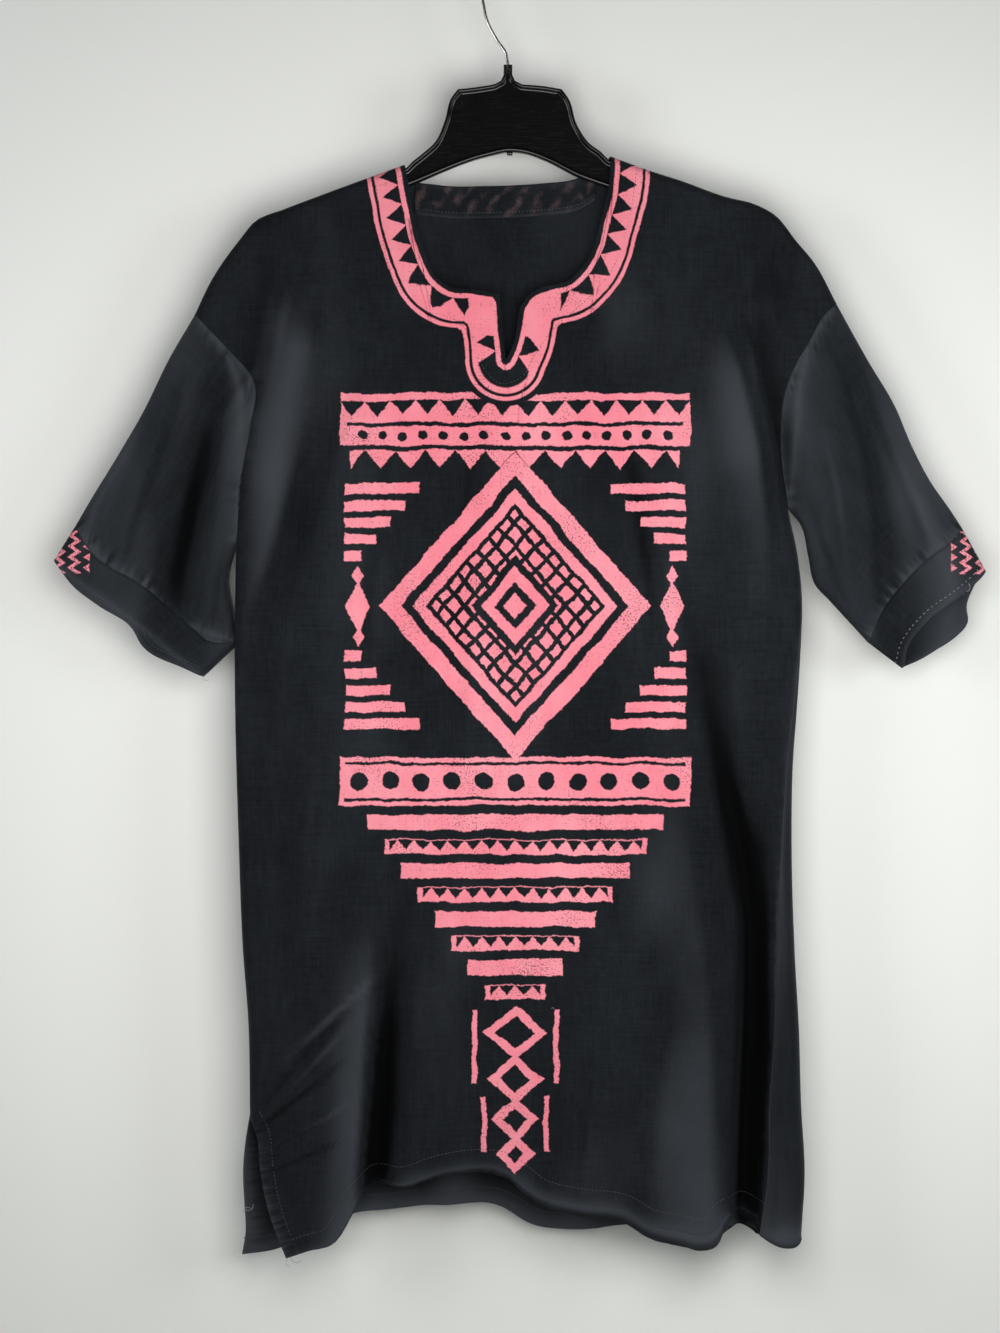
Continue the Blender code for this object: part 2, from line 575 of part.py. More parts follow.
def make_cloth():
    """The body, sleeves, cuffs and facing, with equal normals where they meet."""
    front, back = front_panel(), back_panel()
    armhole_edges = {
        "left": (front[:ARMHOLE_ROWS, 0, 1].copy(), back[:ARMHOLE_ROWS, 0, 1].copy()),
        "right": (front[:ARMHOLE_ROWS, -1, 1].copy(), back[:ARMHOLE_ROWS, -1, 1].copy()),
    }
    left_sleeve, left_cuff = sleeve(
        (ARMHOLE_FRONT_LEFT, ARMHOLE_BACK_LEFT), armhole_edges["left"],
        SLEEVE_TOP_LEFT, SLEEVE_UNDER_LEFT,
        (CUFF_SEAM_FRONT_LEFT, CUFF_SEAM_BACK_LEFT),
        (CUFF_EDGE_FRONT_LEFT, CUFF_EDGE_BACK_LEFT),
        LEFT_SLEEVE_FOLDS, 4,
    )
    right_sleeve, right_cuff = sleeve(
        (ARMHOLE_FRONT_RIGHT, ARMHOLE_BACK_RIGHT), armhole_edges["right"],
        SLEEVE_TOP_RIGHT, SLEEVE_UNDER_RIGHT,
        (CUFF_SEAM_FRONT_RIGHT, CUFF_SEAM_BACK_RIGHT),
        (CUFF_EDGE_FRONT_RIGHT, CUFF_EDGE_BACK_RIGHT),
        RIGHT_SLEEVE_FOLDS, 0,
    )
    front_normals, back_normals = normals_of(front), -normals_of(back)
    left_normals, left_cuff_normals = normals_of(left_sleeve, True), normals_of(left_cuff, True)
    right_normals, right_cuff_normals = -normals_of(right_sleeve, True), -normals_of(right_cuff, True)

    shoulder = len(EDGE_SHARES)
    layer = ARMHOLE_ROWS
    back_ring = [0, *range(2 * layer - 3, layer - 2, -1)]
    share_normals(front_normals[0, :shoulder], back_normals[0, :shoulder])
    share_normals(front_normals[0, -shoulder:], back_normals[0, -shoulder:])
    share_normals(front_normals[layer - 1:, -1], back_normals[layer - 1:, -1])
    vent_row = layer + len(BODY_SHARES)
    share_normals(front_normals[layer - 1:vent_row, 0], back_normals[layer - 1:vent_row, 0])
    for normals, column in ((left_normals, 0), (right_normals, -1)):
        front_edge = (front_normals[:layer, column] + normals[0, :layer])
        front_edge /= np.linalg.norm(front_edge, axis=-1, keepdims=True)
        back_edge = back_normals[:layer, column] + normals[0, back_ring]
        back_edge /= np.linalg.norm(back_edge, axis=-1, keepdims=True)
        front_normals[:layer, column] = front_edge
        back_normals[:layer, column] = back_edge
        normals[0, back_ring] = back_edge
        normals[0, :layer] = front_edge
    share_normals(left_normals[-1], left_cuff_normals[0])
    share_normals(right_normals[-1], right_cuff_normals[0])

    facing, facing_normals = neck_facing()
    for panel in (front, back):
        pull_in(panel[0, :shoulder], panel[1, :shoulder])
        pull_in(panel[0, -shoulder:], panel[1, -shoulder:])
        pull_in(panel[:, -1], panel[:, -2])
        pull_in(panel[:vent_row, 0], panel[:vent_row, 1])
    for tube, cuff in ((left_sleeve, left_cuff), (right_sleeve, right_cuff)):
        pull_in(tube[0], tube[1])
        pull_in(tube[-1], tube[-2])
        pull_in(cuff[0], cuff[1])

    panel_wall = np.full(len(DOWN), CLOTH_WALL)
    panel_wall[FIRST_HEM_ROW:] = HEM_WALL
    sleeve_wall = np.full(len(SLEEVE_SHARES), CLOTH_WALL)
    cuff_wall = np.full(len(CUFF_SHARES), CUFF_WALL)
    cuff_wall[0] = CLOTH_WALL
    pieces = [
        wall("front_panel", front, front_normals, panel_wall),
        wall("back_panel", back[:, ::-1], back_normals[:, ::-1], panel_wall),
        wall("left_sleeve", left_sleeve, left_normals, sleeve_wall, True),
        wall("right_sleeve", right_sleeve[:, ::-1], right_normals[:, ::-1], sleeve_wall, True),
        wall("left_cuff_band", left_cuff, left_cuff_normals, cuff_wall, True),
        wall("right_cuff_band", right_cuff[:, ::-1], right_cuff_normals[:, ::-1], cuff_wall, True),
        wall("back_neck_facing", facing, facing_normals, np.full(len(facing), FACING_WALL)),
    ]
    for piece in pieces:
        piece.data.shade_smooth()
        paint(piece, (0.012, 0.015, 0.018), 0.9)


def neck_facing():
    """The band inside the back neck, laid on the back panel's inner side."""
    edge = along(smooth(NECK_BACK), FACING_SHARES)
    drops = np.array([1.0, FACING_HEIGHT / 2, FACING_HEIGHT])
    places = edge[None] + np.stack([np.zeros(3), -drops], axis=-1)[:, None]
    grid = with_depth(places, back_surface(places) - CLOTH_WALL - FACING_GAP)
    normals = np.zeros_like(grid)
    normals[..., 1] = 1
    return grid[:, ::-1], normals


def under_shoulder(line):
    """A shoulder line moved down, square to itself, by the cloth's clearance."""
    step = np.gradient(line, axis=0)
    step /= np.linalg.norm(step, axis=1, keepdims=True)
    return line + SHOULDER_CLEARANCE * np.stack([step[:, 1], -step[:, 0]], axis=-1)


def hanger_outline():
    """Outline of the hanger in the front view, clockwise from the left arm's tip."""
    left_arm = under_shoulder(along(smooth(SHOULDER_LEFT[3:]), np.linspace(0.05, 1, 14)))
    right_arm = under_shoulder(along(smooth(SHOULDER_RIGHT[:6]), np.linspace(0, 0.93, 14)))
    plate_left = smooth([
        Spot(-80, 162.5), Spot(-73, 157), Spot(-61, 146), Spot(-53, 128), Spot(-48, 110), Spot(-43, 103),
    ], 4)
    plate_top_left = smooth([Spot(-42, 102), Spot(-28, 100.5), Spot(-12, 98)], 2)
    stem = points([
        Spot(-6, 95), Spot(-3.7, 90), Spot(-3.7, STEM_TOP), Spot(3.7, STEM_TOP), Spot(3.7, 90), Spot(6, 95),
    ])
    plate_top_right = smooth([Spot(12, 98), Spot(30, 99.5), Spot(45, 102)], 2)
    plate_right = smooth([
        Spot(46, 103), Spot(51, 110), Spot(58, 132), Spot(68, 147), Spot(78, 154.5),
    ], 4)
    low = smooth([
        Spot(214, 205 + ARM_HEIGHT), Spot(160, 207), Spot(86, 185), Spot(58, 175), Spot(32, 162),
        Spot(13, 155.5), Spot(1, 154.5), Spot(-17, 158), Spot(-86, 184), Spot(-150, 207),
        Spot(-203, 211 + ARM_HEIGHT),
    ], 5)
    return np.vstack([
        left_arm, plate_left, plate_top_left, stem, plate_top_right, plate_right, right_arm, low,
    ])


def inset(outline, width):
    """A closed clockwise outline moved in by a width."""
    before = outline - np.roll(outline, 1, axis=0)
    after = np.roll(outline, -1, axis=0) - outline
    before /= np.linalg.norm(before, axis=1, keepdims=True)
    after /= np.linalg.norm(after, axis=1, keepdims=True)
    side = (before + after) / np.linalg.norm(before + after, axis=1, keepdims=True)
    return outline + width * np.stack([side[:, 1], -side[:, 0]], axis=-1)


def make_hanger():
    """A thin web inside a deep rim, the same on both faces."""
    outline = hanger_outline()
    bevel = inset(outline, HANGER_BEVEL)
    rim = inset(outline, HANGER_RIM)
    count = len(outline)
    levels = [
        (outline, HANGER_BEVEL - HANGER_DEPTH / 2), (bevel, -HANGER_DEPTH / 2),
        (rim, -HANGER_DEPTH / 2), (rim, -HANGER_WEB / 2),
        (rim, HANGER_WEB / 2), (rim, HANGER_DEPTH / 2),
        (bevel, HANGER_DEPTH / 2), (outline, HANGER_DEPTH / 2 - HANGER_BEVEL),
    ]
    vertices = np.concatenate([with_depth(line, np.full(count, depth)) for line, depth in levels]) * MM
    faces = []
    for a, b in ((0, 1), (1, 2), (2, 3), (4, 5), (5, 6), (6, 7), (7, 0)):
        for k in range(count):
            after = (k + 1) % count
            faces.append((b * count + k, b * count + after, a * count + after, a * count + k))
    faces.append(tuple(3 * count + k for k in reversed(range(count))))
    faces.append(tuple(4 * count + k for k in range(count)))
    hanger = add_mesh("hanger", vertices, faces)
    paint(hanger, (0.008, 0.008, 0.009), 0.25)

    wire = bpy.data.curves.new("hook", "CURVE")
    wire.dimensions = "3D"
    wire.bevel_depth = WIRE_RADIUS * MM
    wire.bevel_resolution = 2
    wire.use_fill_caps = True
    wire.resolution_u = 1
    middle = -HOOK_RADIUS + WIRE_RADIUS
    arc = [math.radians(angle) for angle in range(-12, 193, 12)]
    loop = [(HOOK_RADIUS * math.cos(a), middle + HOOK_RADIUS * math.sin(a)) for a in arc]
    shank = smooth([
        Spot(-21, 28), Spot(-17.5, 44), Spot(-9, 60.5), Spot(-2, 71), Spot(0, STEM_TOP - WIRE_GAP),
    ], 5)
    route = [*loop, *[tuple(place) for place in shank]]
    spline = wire.splines.new("POLY")
    spline.points.add(len(route) - 1)
    for point, (across, up) in zip(spline.points, route):
        point.co = (across * MM, 0, up * MM, 1)
    hook = bpy.data.objects.new("hook", wire)
    bpy.context.scene.collection.objects.link(hook)
    hook.parent = bpy.data.objects["hang_point"]
    paint(hook, (0.55, 0.56, 0.57), 0.25, 1.0)


clear_scene()
bpy.context.scene.collection.objects.link(bpy.data.objects.new("hang_point", None))
make_cloth()
make_hanger()
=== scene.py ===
"""A short-sleeved cotton tunic on a moulded hanger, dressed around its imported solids."""
import math
from collections import namedtuple

import bmesh
import bpy
import numpy as np
from mathutils import Matrix, Vector, noise


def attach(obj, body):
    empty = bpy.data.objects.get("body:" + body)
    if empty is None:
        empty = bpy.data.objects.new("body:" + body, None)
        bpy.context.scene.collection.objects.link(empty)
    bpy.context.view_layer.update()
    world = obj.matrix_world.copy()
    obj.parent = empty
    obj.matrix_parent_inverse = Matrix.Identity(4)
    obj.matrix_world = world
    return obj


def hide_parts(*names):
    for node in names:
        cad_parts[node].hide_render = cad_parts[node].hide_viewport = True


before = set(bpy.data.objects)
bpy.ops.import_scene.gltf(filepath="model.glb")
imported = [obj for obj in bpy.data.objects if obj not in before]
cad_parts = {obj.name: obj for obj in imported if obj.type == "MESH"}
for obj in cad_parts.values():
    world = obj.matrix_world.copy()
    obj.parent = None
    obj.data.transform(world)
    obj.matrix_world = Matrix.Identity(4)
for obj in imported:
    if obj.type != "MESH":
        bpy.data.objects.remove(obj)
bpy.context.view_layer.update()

# Front panel: black plain-weave cotton, cut with a round neck, a centre slit and dropped armholes.
# It hangs from the shoulder seams, so its folds run from the neck and armholes down to the turned hem.
# Tables are in millimetres: across is +X, down is the distance under the hook's inside top.
MM = 0.001
SHOULDER_ROUND = 8
SIDE_ROUND_FRONT = 10
WRAP_ROUND = 12
SHELL = 0.9  # thickness of the cloth as it is drawn
HEM_TURN = 15
HEM_STEP = 0.5  # how far the turned cloth stands out
LOWER_START = 0.25  # share of a panel's height that lies above the underarm
VENT_START = 0.775  # share of the rest that lies above the vent
FRONT_HEM_SPREAD = 0.35

Spot = namedtuple("Spot", "across down")
Trough = namedtuple("Trough", "left right path")
Bend = namedtuple("Bend", "across down depth")
Level = namedtuple("Level", "down value")

# Outline of the shoulders, from each armhole to the neck
SHOULDER_LEFT = [
    Spot(-263, 291), Spot(-249, 262), Spot(-223, 225), Spot(-213, 213),
    Spot(-187, 202), Spot(-158, 191), Spot(-131, 181), Spot(-87, 165),
]
SHOULDER_RIGHT = [
    Spot(86, 158), Spot(122, 171), Spot(144, 178), Spot(183, 192),
    Spot(207, 198), Spot(224, 207), Spot(242, 229), Spot(257, 247), Spot(276, 282),
]

# Neck opening: round, with a slit in the middle
NECK_LEFT = [
    Spot(-87, 165), Spot(-83, 186), Spot(-76, 221), Spot(-69, 242),
    Spot(-59, 262), Spot(-49, 269), Spot(-29, 271), Spot(-7, 275),
]
SLIT_LEFT = [Spot(-7, 275), Spot(-4, 309), Spot(-2, 331)]
SLIT_RIGHT = [Spot(-2, 331), Spot(4, 318), Spot(10, 286)]
NECK_RIGHT = [
    Spot(10, 286), Spot(19, 274), Spot(30, 269), Spot(52, 263),
    Spot(60, 255), Spot(69, 242), Spot(76, 219), Spot(84, 187), Spot(86, 158),
]

# Dropped armholes, from the shoulder down to the underarm
ARMHOLE_FRONT_LEFT = [
    Spot(-263, 291), Spot(-236, 319), Spot(-212, 349), Spot(-216, 389), Spot(-222, 422),
    Spot(-227, 485),
]
ARMHOLE_FRONT_RIGHT = [
    Spot(276, 282), Spot(264, 293), Spot(253, 313), Spot(241, 333), Spot(232, 357), Spot(229, 381),
    Spot(230, 418), Spot(235, 454),
]

# Sides under the arms. On the right the back panel wraps round to the front, up to the seam
SIDE_LEFT = [
    Spot(-227, 485), Spot(-228, 536), Spot(-228, 615), Spot(-225, 731), Spot(-222, 817),
    Spot(-217, 888), Spot(-216, 960),
]
SIDE_RIGHT = [
    Spot(235, 454), Spot(243, 492), Spot(247, 536), Spot(246, 565), Spot(243, 615), Spot(239, 670),
    Spot(238, 731), Spot(241, 835), Spot(244, 888), Spot(246, 954), Spot(249, 1010), Spot(246, 1062),
]
SEAM_INSET_RIGHT = [
    Level(454, 0.5), Level(565, 1.5), Level(615, 4), Level(692, 8), Level(781, 14), Level(850, 19),
    Level(899, 23), Level(960, 29), Level(1062, 36),
]
VENT_FRONT_LEFT = [
    Spot(-216, 960), Spot(-209, 974), Spot(-206, 1001), Spot(-202, 1025), Spot(-196, 1047),
    Spot(-184, 1077),
]
VENT_BACK_LEFT = [
    Spot(-216, 960), Spot(-220, 985), Spot(-222, 1009), Spot(-221, 1035), Spot(-220, 1060),
    Spot(-223, 1079),
]

# Hem, from the left vent to the right side
HEM_FRONT = [
    Spot(-184, 1077), Spot(-163, 1070), Spot(-146, 1064), Spot(-139, 1057), Spot(-132, 1045),
    Spot(-122, 1026), Spot(-110, 1017), Spot(-90, 1016), Spot(-56, 1005), Spot(-42, 1002), Spot(-7, 1002),
    Spot(27, 1025), Spot(61, 1033), Spot(94, 1037), Spot(117, 1049), Spot(141, 1053), Spot(161, 1056),
    Spot(174, 1051), Spot(179, 1042), Spot(193, 1041), Spot(210, 1047),
]

# How far the front stands before the hook's plane, and where the folded left side lies
FRONT_SWELL = [
    Level(150, 9), Level(300, 10), Level(420, 14), Level(700, 21), Level(900, 25), Level(1090, 27),
]
LEFT_SIDE_MIDDLE = [
    Level(330, 0), Level(400, -8), Level(480, -12), Level(700, -12), Level(900, -8), Level(1090, -4),
]

# Folds. A positive depth is a trough, a negative one a ridge. Left and right are their half widths
FRONT_FOLDS = [
    Trough(45, 7, [Bend(-198, 235, 0), Bend(-209, 283, 7), Bend(-222, 354, 8), Bend(-232, 420, 0)]),
    Trough(34, 30, [
        Bend(-196, 260, 0), Bend(-180, 320, -8), Bend(-196, 430, -9), Bend(-205, 640, -4),
        Bend(-205, 800, 0),
    ]),
    Trough(24, 20, [
        Bend(-118, 300, 0), Bend(-139, 360, 5), Bend(-159, 419, 8), Bend(-197, 536, 8),
        Bend(-209, 640, 5), Bend(-211, 740, 0),
    ]),
    Trough(12, 14, [Bend(228, 222, 0), Bend(229, 262, 5), Bend(226, 300, 0)]),
    Trough(40, 12, [
        Bend(168, 280, 0), Bend(190, 342, -6), Bend(204, 404, -8), Bend(212, 470, -5),
        Bend(215, 560, 0),
    ]),
    Trough(9, 26, [
        Bend(196, 280, 0), Bend(203, 300, 6), Bend(216, 342, 10), Bend(229, 404, 11),
        Bend(236, 454, 7), Bend(240, 480, 0),
    ]),
    Trough(16, 30, [
        Bend(150, 500, 0), Bend(156, 550, 5), Bend(162, 585, 8), Bend(179, 674, 13), Bend(195, 745, 20),
        Bend(203, 800, 25), Bend(202, 887, 29), Bend(199, 959, 31), Bend(195, 1090, 31),
    ]),
    Trough(70, 20, [Bend(140, 700, 0), Bend(160, 850, -5), Bend(166, 1090, -8)]),
    Trough(9, 34, [
        Bend(-87, 740, 0), Bend(-97, 817, 9), Bend(-104, 887, 17), Bend(-111, 959, 22),
        Bend(-119, 1050, 23),
    ]),
    Trough(40, 9, [Bend(-110, 760, 0), Bend(-122, 887, -6), Bend(-132, 1060, -7)]),
    Trough(14, 14, [Bend(-168, 630, 0), Bend(-178, 720, 4), Bend(-191, 830, 4), Bend(-206, 930, 0)]),
    Trough(16, 16, [Bend(-48, 500, 0), Bend(-44, 590, 2.5), Bend(-52, 700, 0)]),
    Trough(14, 20, [Bend(118, 800, 0), Bend(122, 880, 3), Bend(112, 960, 2.5), Bend(106, 1060, 0)]),
]

# Finer creases of the front: narrow troughs and ridges with their own lengths and depths
FRONT_CREASES = [
    Trough(6, 10, [Bend(-100, 832, 0), Bend(-126, 858, -2.6), Bend(-166, 894, -2.6), Bend(-206, 932, 0)]),
    Trough(5, 8, [Bend(-120, 850, 0), Bend(-150, 890, 2.4), Bend(-184, 926, 2.8), Bend(-206, 956, 0)]),
    Trough(6, 7, [Bend(-128, 878, 0), Bend(-154, 908, -2.2), Bend(-204, 962, -1.8), Bend(-208, 968, 0)]),
    Trough(5, 8, [Bend(-134, 908, 0), Bend(-158, 932, 2.4), Bend(-204, 968, 1.8), Bend(-208, 974, 0)]),
    Trough(5, 7, [Bend(-130, 944, 0), Bend(-150, 960, -2.0), Bend(-196, 984, -1.4), Bend(-204, 992, 0)]),
    Trough(6, 8, [Bend(-132, 976, 0), Bend(-152, 986, 2.1), Bend(-190, 1004, 1.4), Bend(-200, 1012, 0)]),
    Trough(8, 12, [Bend(-30, 300, 0), Bend(-32, 400, 1.8), Bend(-44, 540, 2.6), Bend(-50, 690, 0)]),
    Trough(9, 8, [Bend(-14, 360, 0), Bend(-18, 450, -1.2), Bend(-30, 600, -1.5), Bend(-34, 700, 0)]),
    Trough(10, 12, [Bend(92, 385, 0), Bend(106, 430, 2.6), Bend(118, 520, 3.2), Bend(124, 640, 0)]),
    Trough(8, 9, [Bend(112, 370, 0), Bend(126, 440, -1.5), Bend(138, 540, -1.8), Bend(144, 660, 0)]),
    Trough(7, 9, [Bend(196, 214, 0), Bend(200, 262, -2.8), Bend(204, 320, -2.4), Bend(207, 380, 0)]),
    Trough(5, 5, [Bend(160, 240, 0), Bend(164, 256, 1.2), Bend(170, 272, 0)]),
    Trough(4, 5, [Bend(112, 186, 0), Bend(120, 206, 1.3), Bend(123, 240, 1.0), Bend(118, 276, 0)]),
    Trough(5, 6, [Bend(132, 192, 0), Bend(142, 220, 1.2), Bend(146, 258, 0)]),
    Trough(5, 7, [Bend(-206, 560, 0), Bend(-196, 640, 1.0), Bend(-186, 720, 1.3), Bend(-190, 800, 0)]),
    Trough(5, 6, [Bend(-150, 620, 0), Bend(-156, 700, 1.0), Bend(-166, 790, 0)]),
    Trough(4, 8, [Bend(-176, 830, 0), Bend(-186, 868, -1.1), Bend(-206, 910, 0)]),
    Trough(7, 6, [Bend(60, 920, 0), Bend(62, 980, 1.0), Bend(58, 1034, 0)]),
    Trough(6, 9, [Bend(12, 890, 0), Bend(16, 960, -1.1), Bend(14, 1020, 0)]),
    Trough(5, 5, [Bend(-76, 900, 0), Bend(-84, 960, 1.1), Bend(-88, 1010, 0)]),
    Trough(8, 6, [Bend(-176, 226, 0), Bend(-186, 290, -1.6), Bend(-200, 356, 0)]),
    Trough(6, 8, [Bend(-150, 214, 0), Bend(-160, 300, 1.2), Bend(-166, 360, 0)]),
    Trough(9, 9, [Bend(-96, 320, 0), Bend(-104, 430, 1.6), Bend(-120, 560, 1.2), Bend(-124, 660, 0)]),
    Trough(7, 10, [Bend(180, 560, 0), Bend(190, 640, -1.6), Bend(206, 760, -1.8), Bend(214, 900, 0)]),
]
CRUMPLE = 1.7
CRUMPLE_LENGTH = 62
FINE_CRUMPLE = 0.34
FINE_LENGTH = 19
# Painted light and shade in the cloth's colour: fold ridges are painted lighter (with some real wear),
# troughs painted darker, and creases and small ripples painted light on their ridges and dark in their
# hollows.
RIDGE_WEAR_AND_HIGHLIGHT = 1.2
HOLLOW_SHADE = 1.35
HOLLOW_SHADE_DEPTH = 16
CREASE_SHADING = 0.2
RIPPLE_SHADING = 0.55
FRONT_VENT_SEED = 4.1
NECK_MARGIN = 60
NECK_SHARES = {
    1: [Level(-187, 0), Level(-87, 1), Level(-60, 1), Level(-8, 0.45), Level(-2.5, 0.3), Level(-2, 0)],
    -1: [Level(-2, 0), Level(10, 0.35), Level(60, 1), Level(86, 1), Level(186, 0)],
}


def points(spots):
    """Spots of a table as points of the front view, with height up."""
    return np.array([(spot.across, -spot.down) for spot in spots], float)


def smooth(spots, steps=10):
    """A dense smooth line through the spots of a table."""
    knots = points(spots)
    length = np.linalg.norm(np.diff(knots, axis=0), axis=1)[:, None]
    slope = np.diff(knots, axis=0) / length
    inner = (slope[:-1] * length[1:] + slope[1:] * length[:-1]) / (length[1:] + length[:-1])
    tangent = np.vstack([slope[:1], inner, slope[-1:]])
    s = np.linspace(0, 1, steps, endpoint=False)[:, None]
    spans = []
    for k, span in enumerate(length):
        start = (2 * s**3 - 3 * s**2 + 1) * knots[k] + (s**3 - 2 * s**2 + s) * tangent[k] * span
        end = (3 * s**2 - 2 * s**3) * knots[k + 1] + (s**3 - s**2) * tangent[k + 1] * span
        spans.append(start + end)
    return np.vstack([*spans, knots[-1:]])


def along(line, shares):
    """Points of a line at these shares of its length."""
    steps = np.linalg.norm(np.diff(line, axis=0), axis=1)
    reached = np.concatenate([[0], np.cumsum(steps)])
    wanted = np.asarray(shares) * reached[-1]
    return np.stack([np.interp(wanted, reached, line[:, k]) for k in range(line.shape[1])], axis=-1)


def spread(count, start=0.0, end=0.0, reach=0.12):
    """Shares from 0 to 1, closer together by these amounts at the start and at the end."""
    middle = (np.arange(count) + 0.5) / count
    steps = 1 - start * np.exp(-middle / reach) - end * np.exp((middle - 1) / reach)
    return np.concatenate([[0], np.cumsum(steps) / steps.sum()])


def nearest(places, line):
    """How far each place lies from a line in the front view, and how far along it."""
    flat = places.reshape(-1, 2)
    step = np.diff(line, axis=0)
    size = np.maximum((step**2).sum(-1), 1e-9)
    start = np.concatenate([[0], np.cumsum(np.sqrt(size))])[:-1]
    offset = flat[:, None] - line[None, :-1]
    share = np.clip((offset * step).sum(-1) / size, 0, 1)
    gap = np.linalg.norm(offset - share[..., None] * step, axis=-1)
    best = gap.argmin(axis=1)
    rows = np.arange(len(flat))
    reached = start[best] + share[rows, best] * np.sqrt(size)[best]
    shape = places.shape[:-1]
    return gap[rows, best].reshape(shape), reached.reshape(shape)


def distance(places, line):
    """How far each place lies from a line in the front view."""
    return nearest(places, line)[0]


def rounded(places, line, radius):
    """0 on a folded edge and 1 past its radius, as a quarter circle."""
    share = 1 - np.clip(distance(places, line) / radius, 0, 1)
    return np.sqrt(1 - share**2)


def level(places, table):
    """A table's value at each place's height."""
    return np.interp(-places[..., 1], [row.down for row in table], [row.value for row in table])


def fold_depth(places, folds):
    """Sum of the folds' depths at each place."""
    total = np.zeros(places.shape[:-1])
    for fold in folds:
        downs = [bend.down for bend in fold.path]
        middle = np.interp(-places[..., 1], downs, [bend.across for bend in fold.path])
        depth = np.interp(-places[..., 1], downs, [bend.depth for bend in fold.path], left=0)
        offset = places[..., 0] - middle
        share = np.clip(np.where(offset < 0, -offset / fold.left, offset / fold.right), 0, 1)
        total += depth * (1 + np.cos(math.pi * share)) / 2
    return total


def crumple(places, seed):
    """Small uneven waves of worn cotton, longer down the cloth than across it."""
    flat = places.reshape(-1, 2)
    waves = [
        CRUMPLE * noise.noise((x / CRUMPLE_LENGTH, y / (2.4 * CRUMPLE_LENGTH), seed))
        + FINE_CRUMPLE * noise.noise((x / FINE_LENGTH, y / (1.6 * FINE_LENGTH), seed + 7.3))
        for x, y in flat
    ]
    return np.array(waves).reshape(places.shape[:-1])


def pucker(places, line, seed, height=0.45, reach=7.0, pitch=6.5):
    """Ripples across a seam, fading away from it."""
    gap, reached = nearest(places, line)
    waves = np.array([noise.noise((s / pitch, seed, 0.0)) for s in reached.reshape(-1)])
    return height * np.exp(-((gap / reach) ** 2)) * waves.reshape(gap.shape)


def vent_gathers(places, line, seed):
    """Fine gathers that the stitches pull into a vent's edge."""
    return pucker(places, line, seed, height=1.5, reach=12, pitch=2.6)


def hem_waves(places, line, seed):
    """Slow uneven waves along a turned hem."""
    return pucker(places, line, seed, height=0.6, reach=12, pitch=12)


def seam_dip(places, line, depth=0.55, reach=1.6):
    """How far the cloth sinks into a seam."""
    return depth * np.exp(-((distance(places, line) / reach) ** 2))


def patch(top, bottom, left, right, across, down):
    """Places of a four-sided panel between its edges."""
    u = np.asarray(across)[None, :, None]
    v = np.asarray(down)[:, None, None]
    sides = (1 - u) * left[:, None] + u * right[:, None]
    ends = (1 - v) * top[None] + v * bottom[None]
    corners = (1 - v) * ((1 - u) * top[0] + u * top[-1]) + v * ((1 - u) * bottom[0] + u * bottom[-1])
    return sides + ends - corners


def with_depth(places, depth):
    """Points in space from places of the front view and their depth along Y."""
    return np.stack([places[..., 0], depth, places[..., 1]], axis=-1)


def body_middle(places):
    """Depth of the plane where the front and back panels meet."""
    return level(places, LEFT_SIDE_MIDDLE) * np.clip(-places[..., 0] / 100, 0, 1)


ARMHOLE_ROWS = spread(60, 0.93, 0.8)
BODY_ROWS = VENT_START * np.linspace(0, 1, 101)[1:]
VENT_ROWS = VENT_START + (1 - VENT_START) * spread(96, 0, 0.5)[1:]
DOWN = np.concatenate([
    ARMHOLE_ROWS * LOWER_START,
    LOWER_START + (1 - LOWER_START) * np.concatenate([BODY_ROWS, VENT_ROWS]),
])

shoulder_lines = [smooth(SHOULDER_LEFT), smooth(SHOULDER_RIGHT)]
left_back_side = np.vstack([smooth(SIDE_LEFT, 5), smooth(VENT_BACK_LEFT, 5)])
left_front_side = np.vstack([points(ARMHOLE_FRONT_LEFT[2:]), left_back_side])
right_side = smooth(SIDE_RIGHT, 5)
right_edge = along(right_side, np.concatenate([BODY_ROWS, VENT_ROWS]))
seam_inset = level(right_edge, SEAM_INSET_RIGHT)
seam_right = right_edge - np.stack([seam_inset, np.zeros(len(right_edge))], axis=-1)
front_armholes = [smooth(ARMHOLE_FRONT_LEFT, 6), smooth(ARMHOLE_FRONT_RIGHT, 6)]
vent_front_line = smooth(VENT_FRONT_LEFT, 5)
hem_front_line = smooth(HEM_FRONT, 5)


def hem_step(places, lines):
    """The extra height of the turned cloth at a hem or a vent."""
    gap = np.min([distance(places, line) for line in lines], axis=0)
    return HEM_STEP * np.clip((HEM_TURN - gap) / 2 + 0.5, 0, 1)


def front_surface(places):
    """Depth of the front of the body."""
    middle = body_middle(places)
    flat = fold_depth(places, FRONT_FOLDS + FRONT_CREASES) - level(places, FRONT_SWELL)
    flat += crumple(places, 1.5) + vent_gathers(places, vent_front_line, FRONT_VENT_SEED)
    flat += hem_waves(places, hem_front_line, 9.2)
    share = rounded(places, left_front_side, SIDE_ROUND_FRONT) * rounded(places, right_side, WRAP_ROUND)
    for line in shoulder_lines:
        share = share * rounded(places, line, SHOULDER_ROUND)
    return middle + (flat - middle) * share


def rows_of_side(armhole, side, end):
    """Points down one side of a panel: armhole, side seam, then vent."""
    seam = along(smooth(side), BODY_ROWS / VENT_START)
    vent = along(smooth(end), (VENT_ROWS - VENT_START) / (1 - VENT_START))
    return np.vstack([along(smooth(armhole), ARMHOLE_ROWS), seam, vent])


def hem_points(spots, top, mix):
    """Hem points under a panel's top points, partly spread out evenly."""
    shares = (top[:, 0] - top[0, 0]) / (top[-1, 0] - top[0, 0])
    shares = (1 - mix) * shares + mix * np.linspace(0, 1, len(top))
    line = smooth(spots)
    wanted = line[0, 0] + shares * (line[-1, 0] - line[0, 0])
    return np.stack([wanted, np.interp(wanted, line[:, 0], line[:, 1])], axis=-1), shares


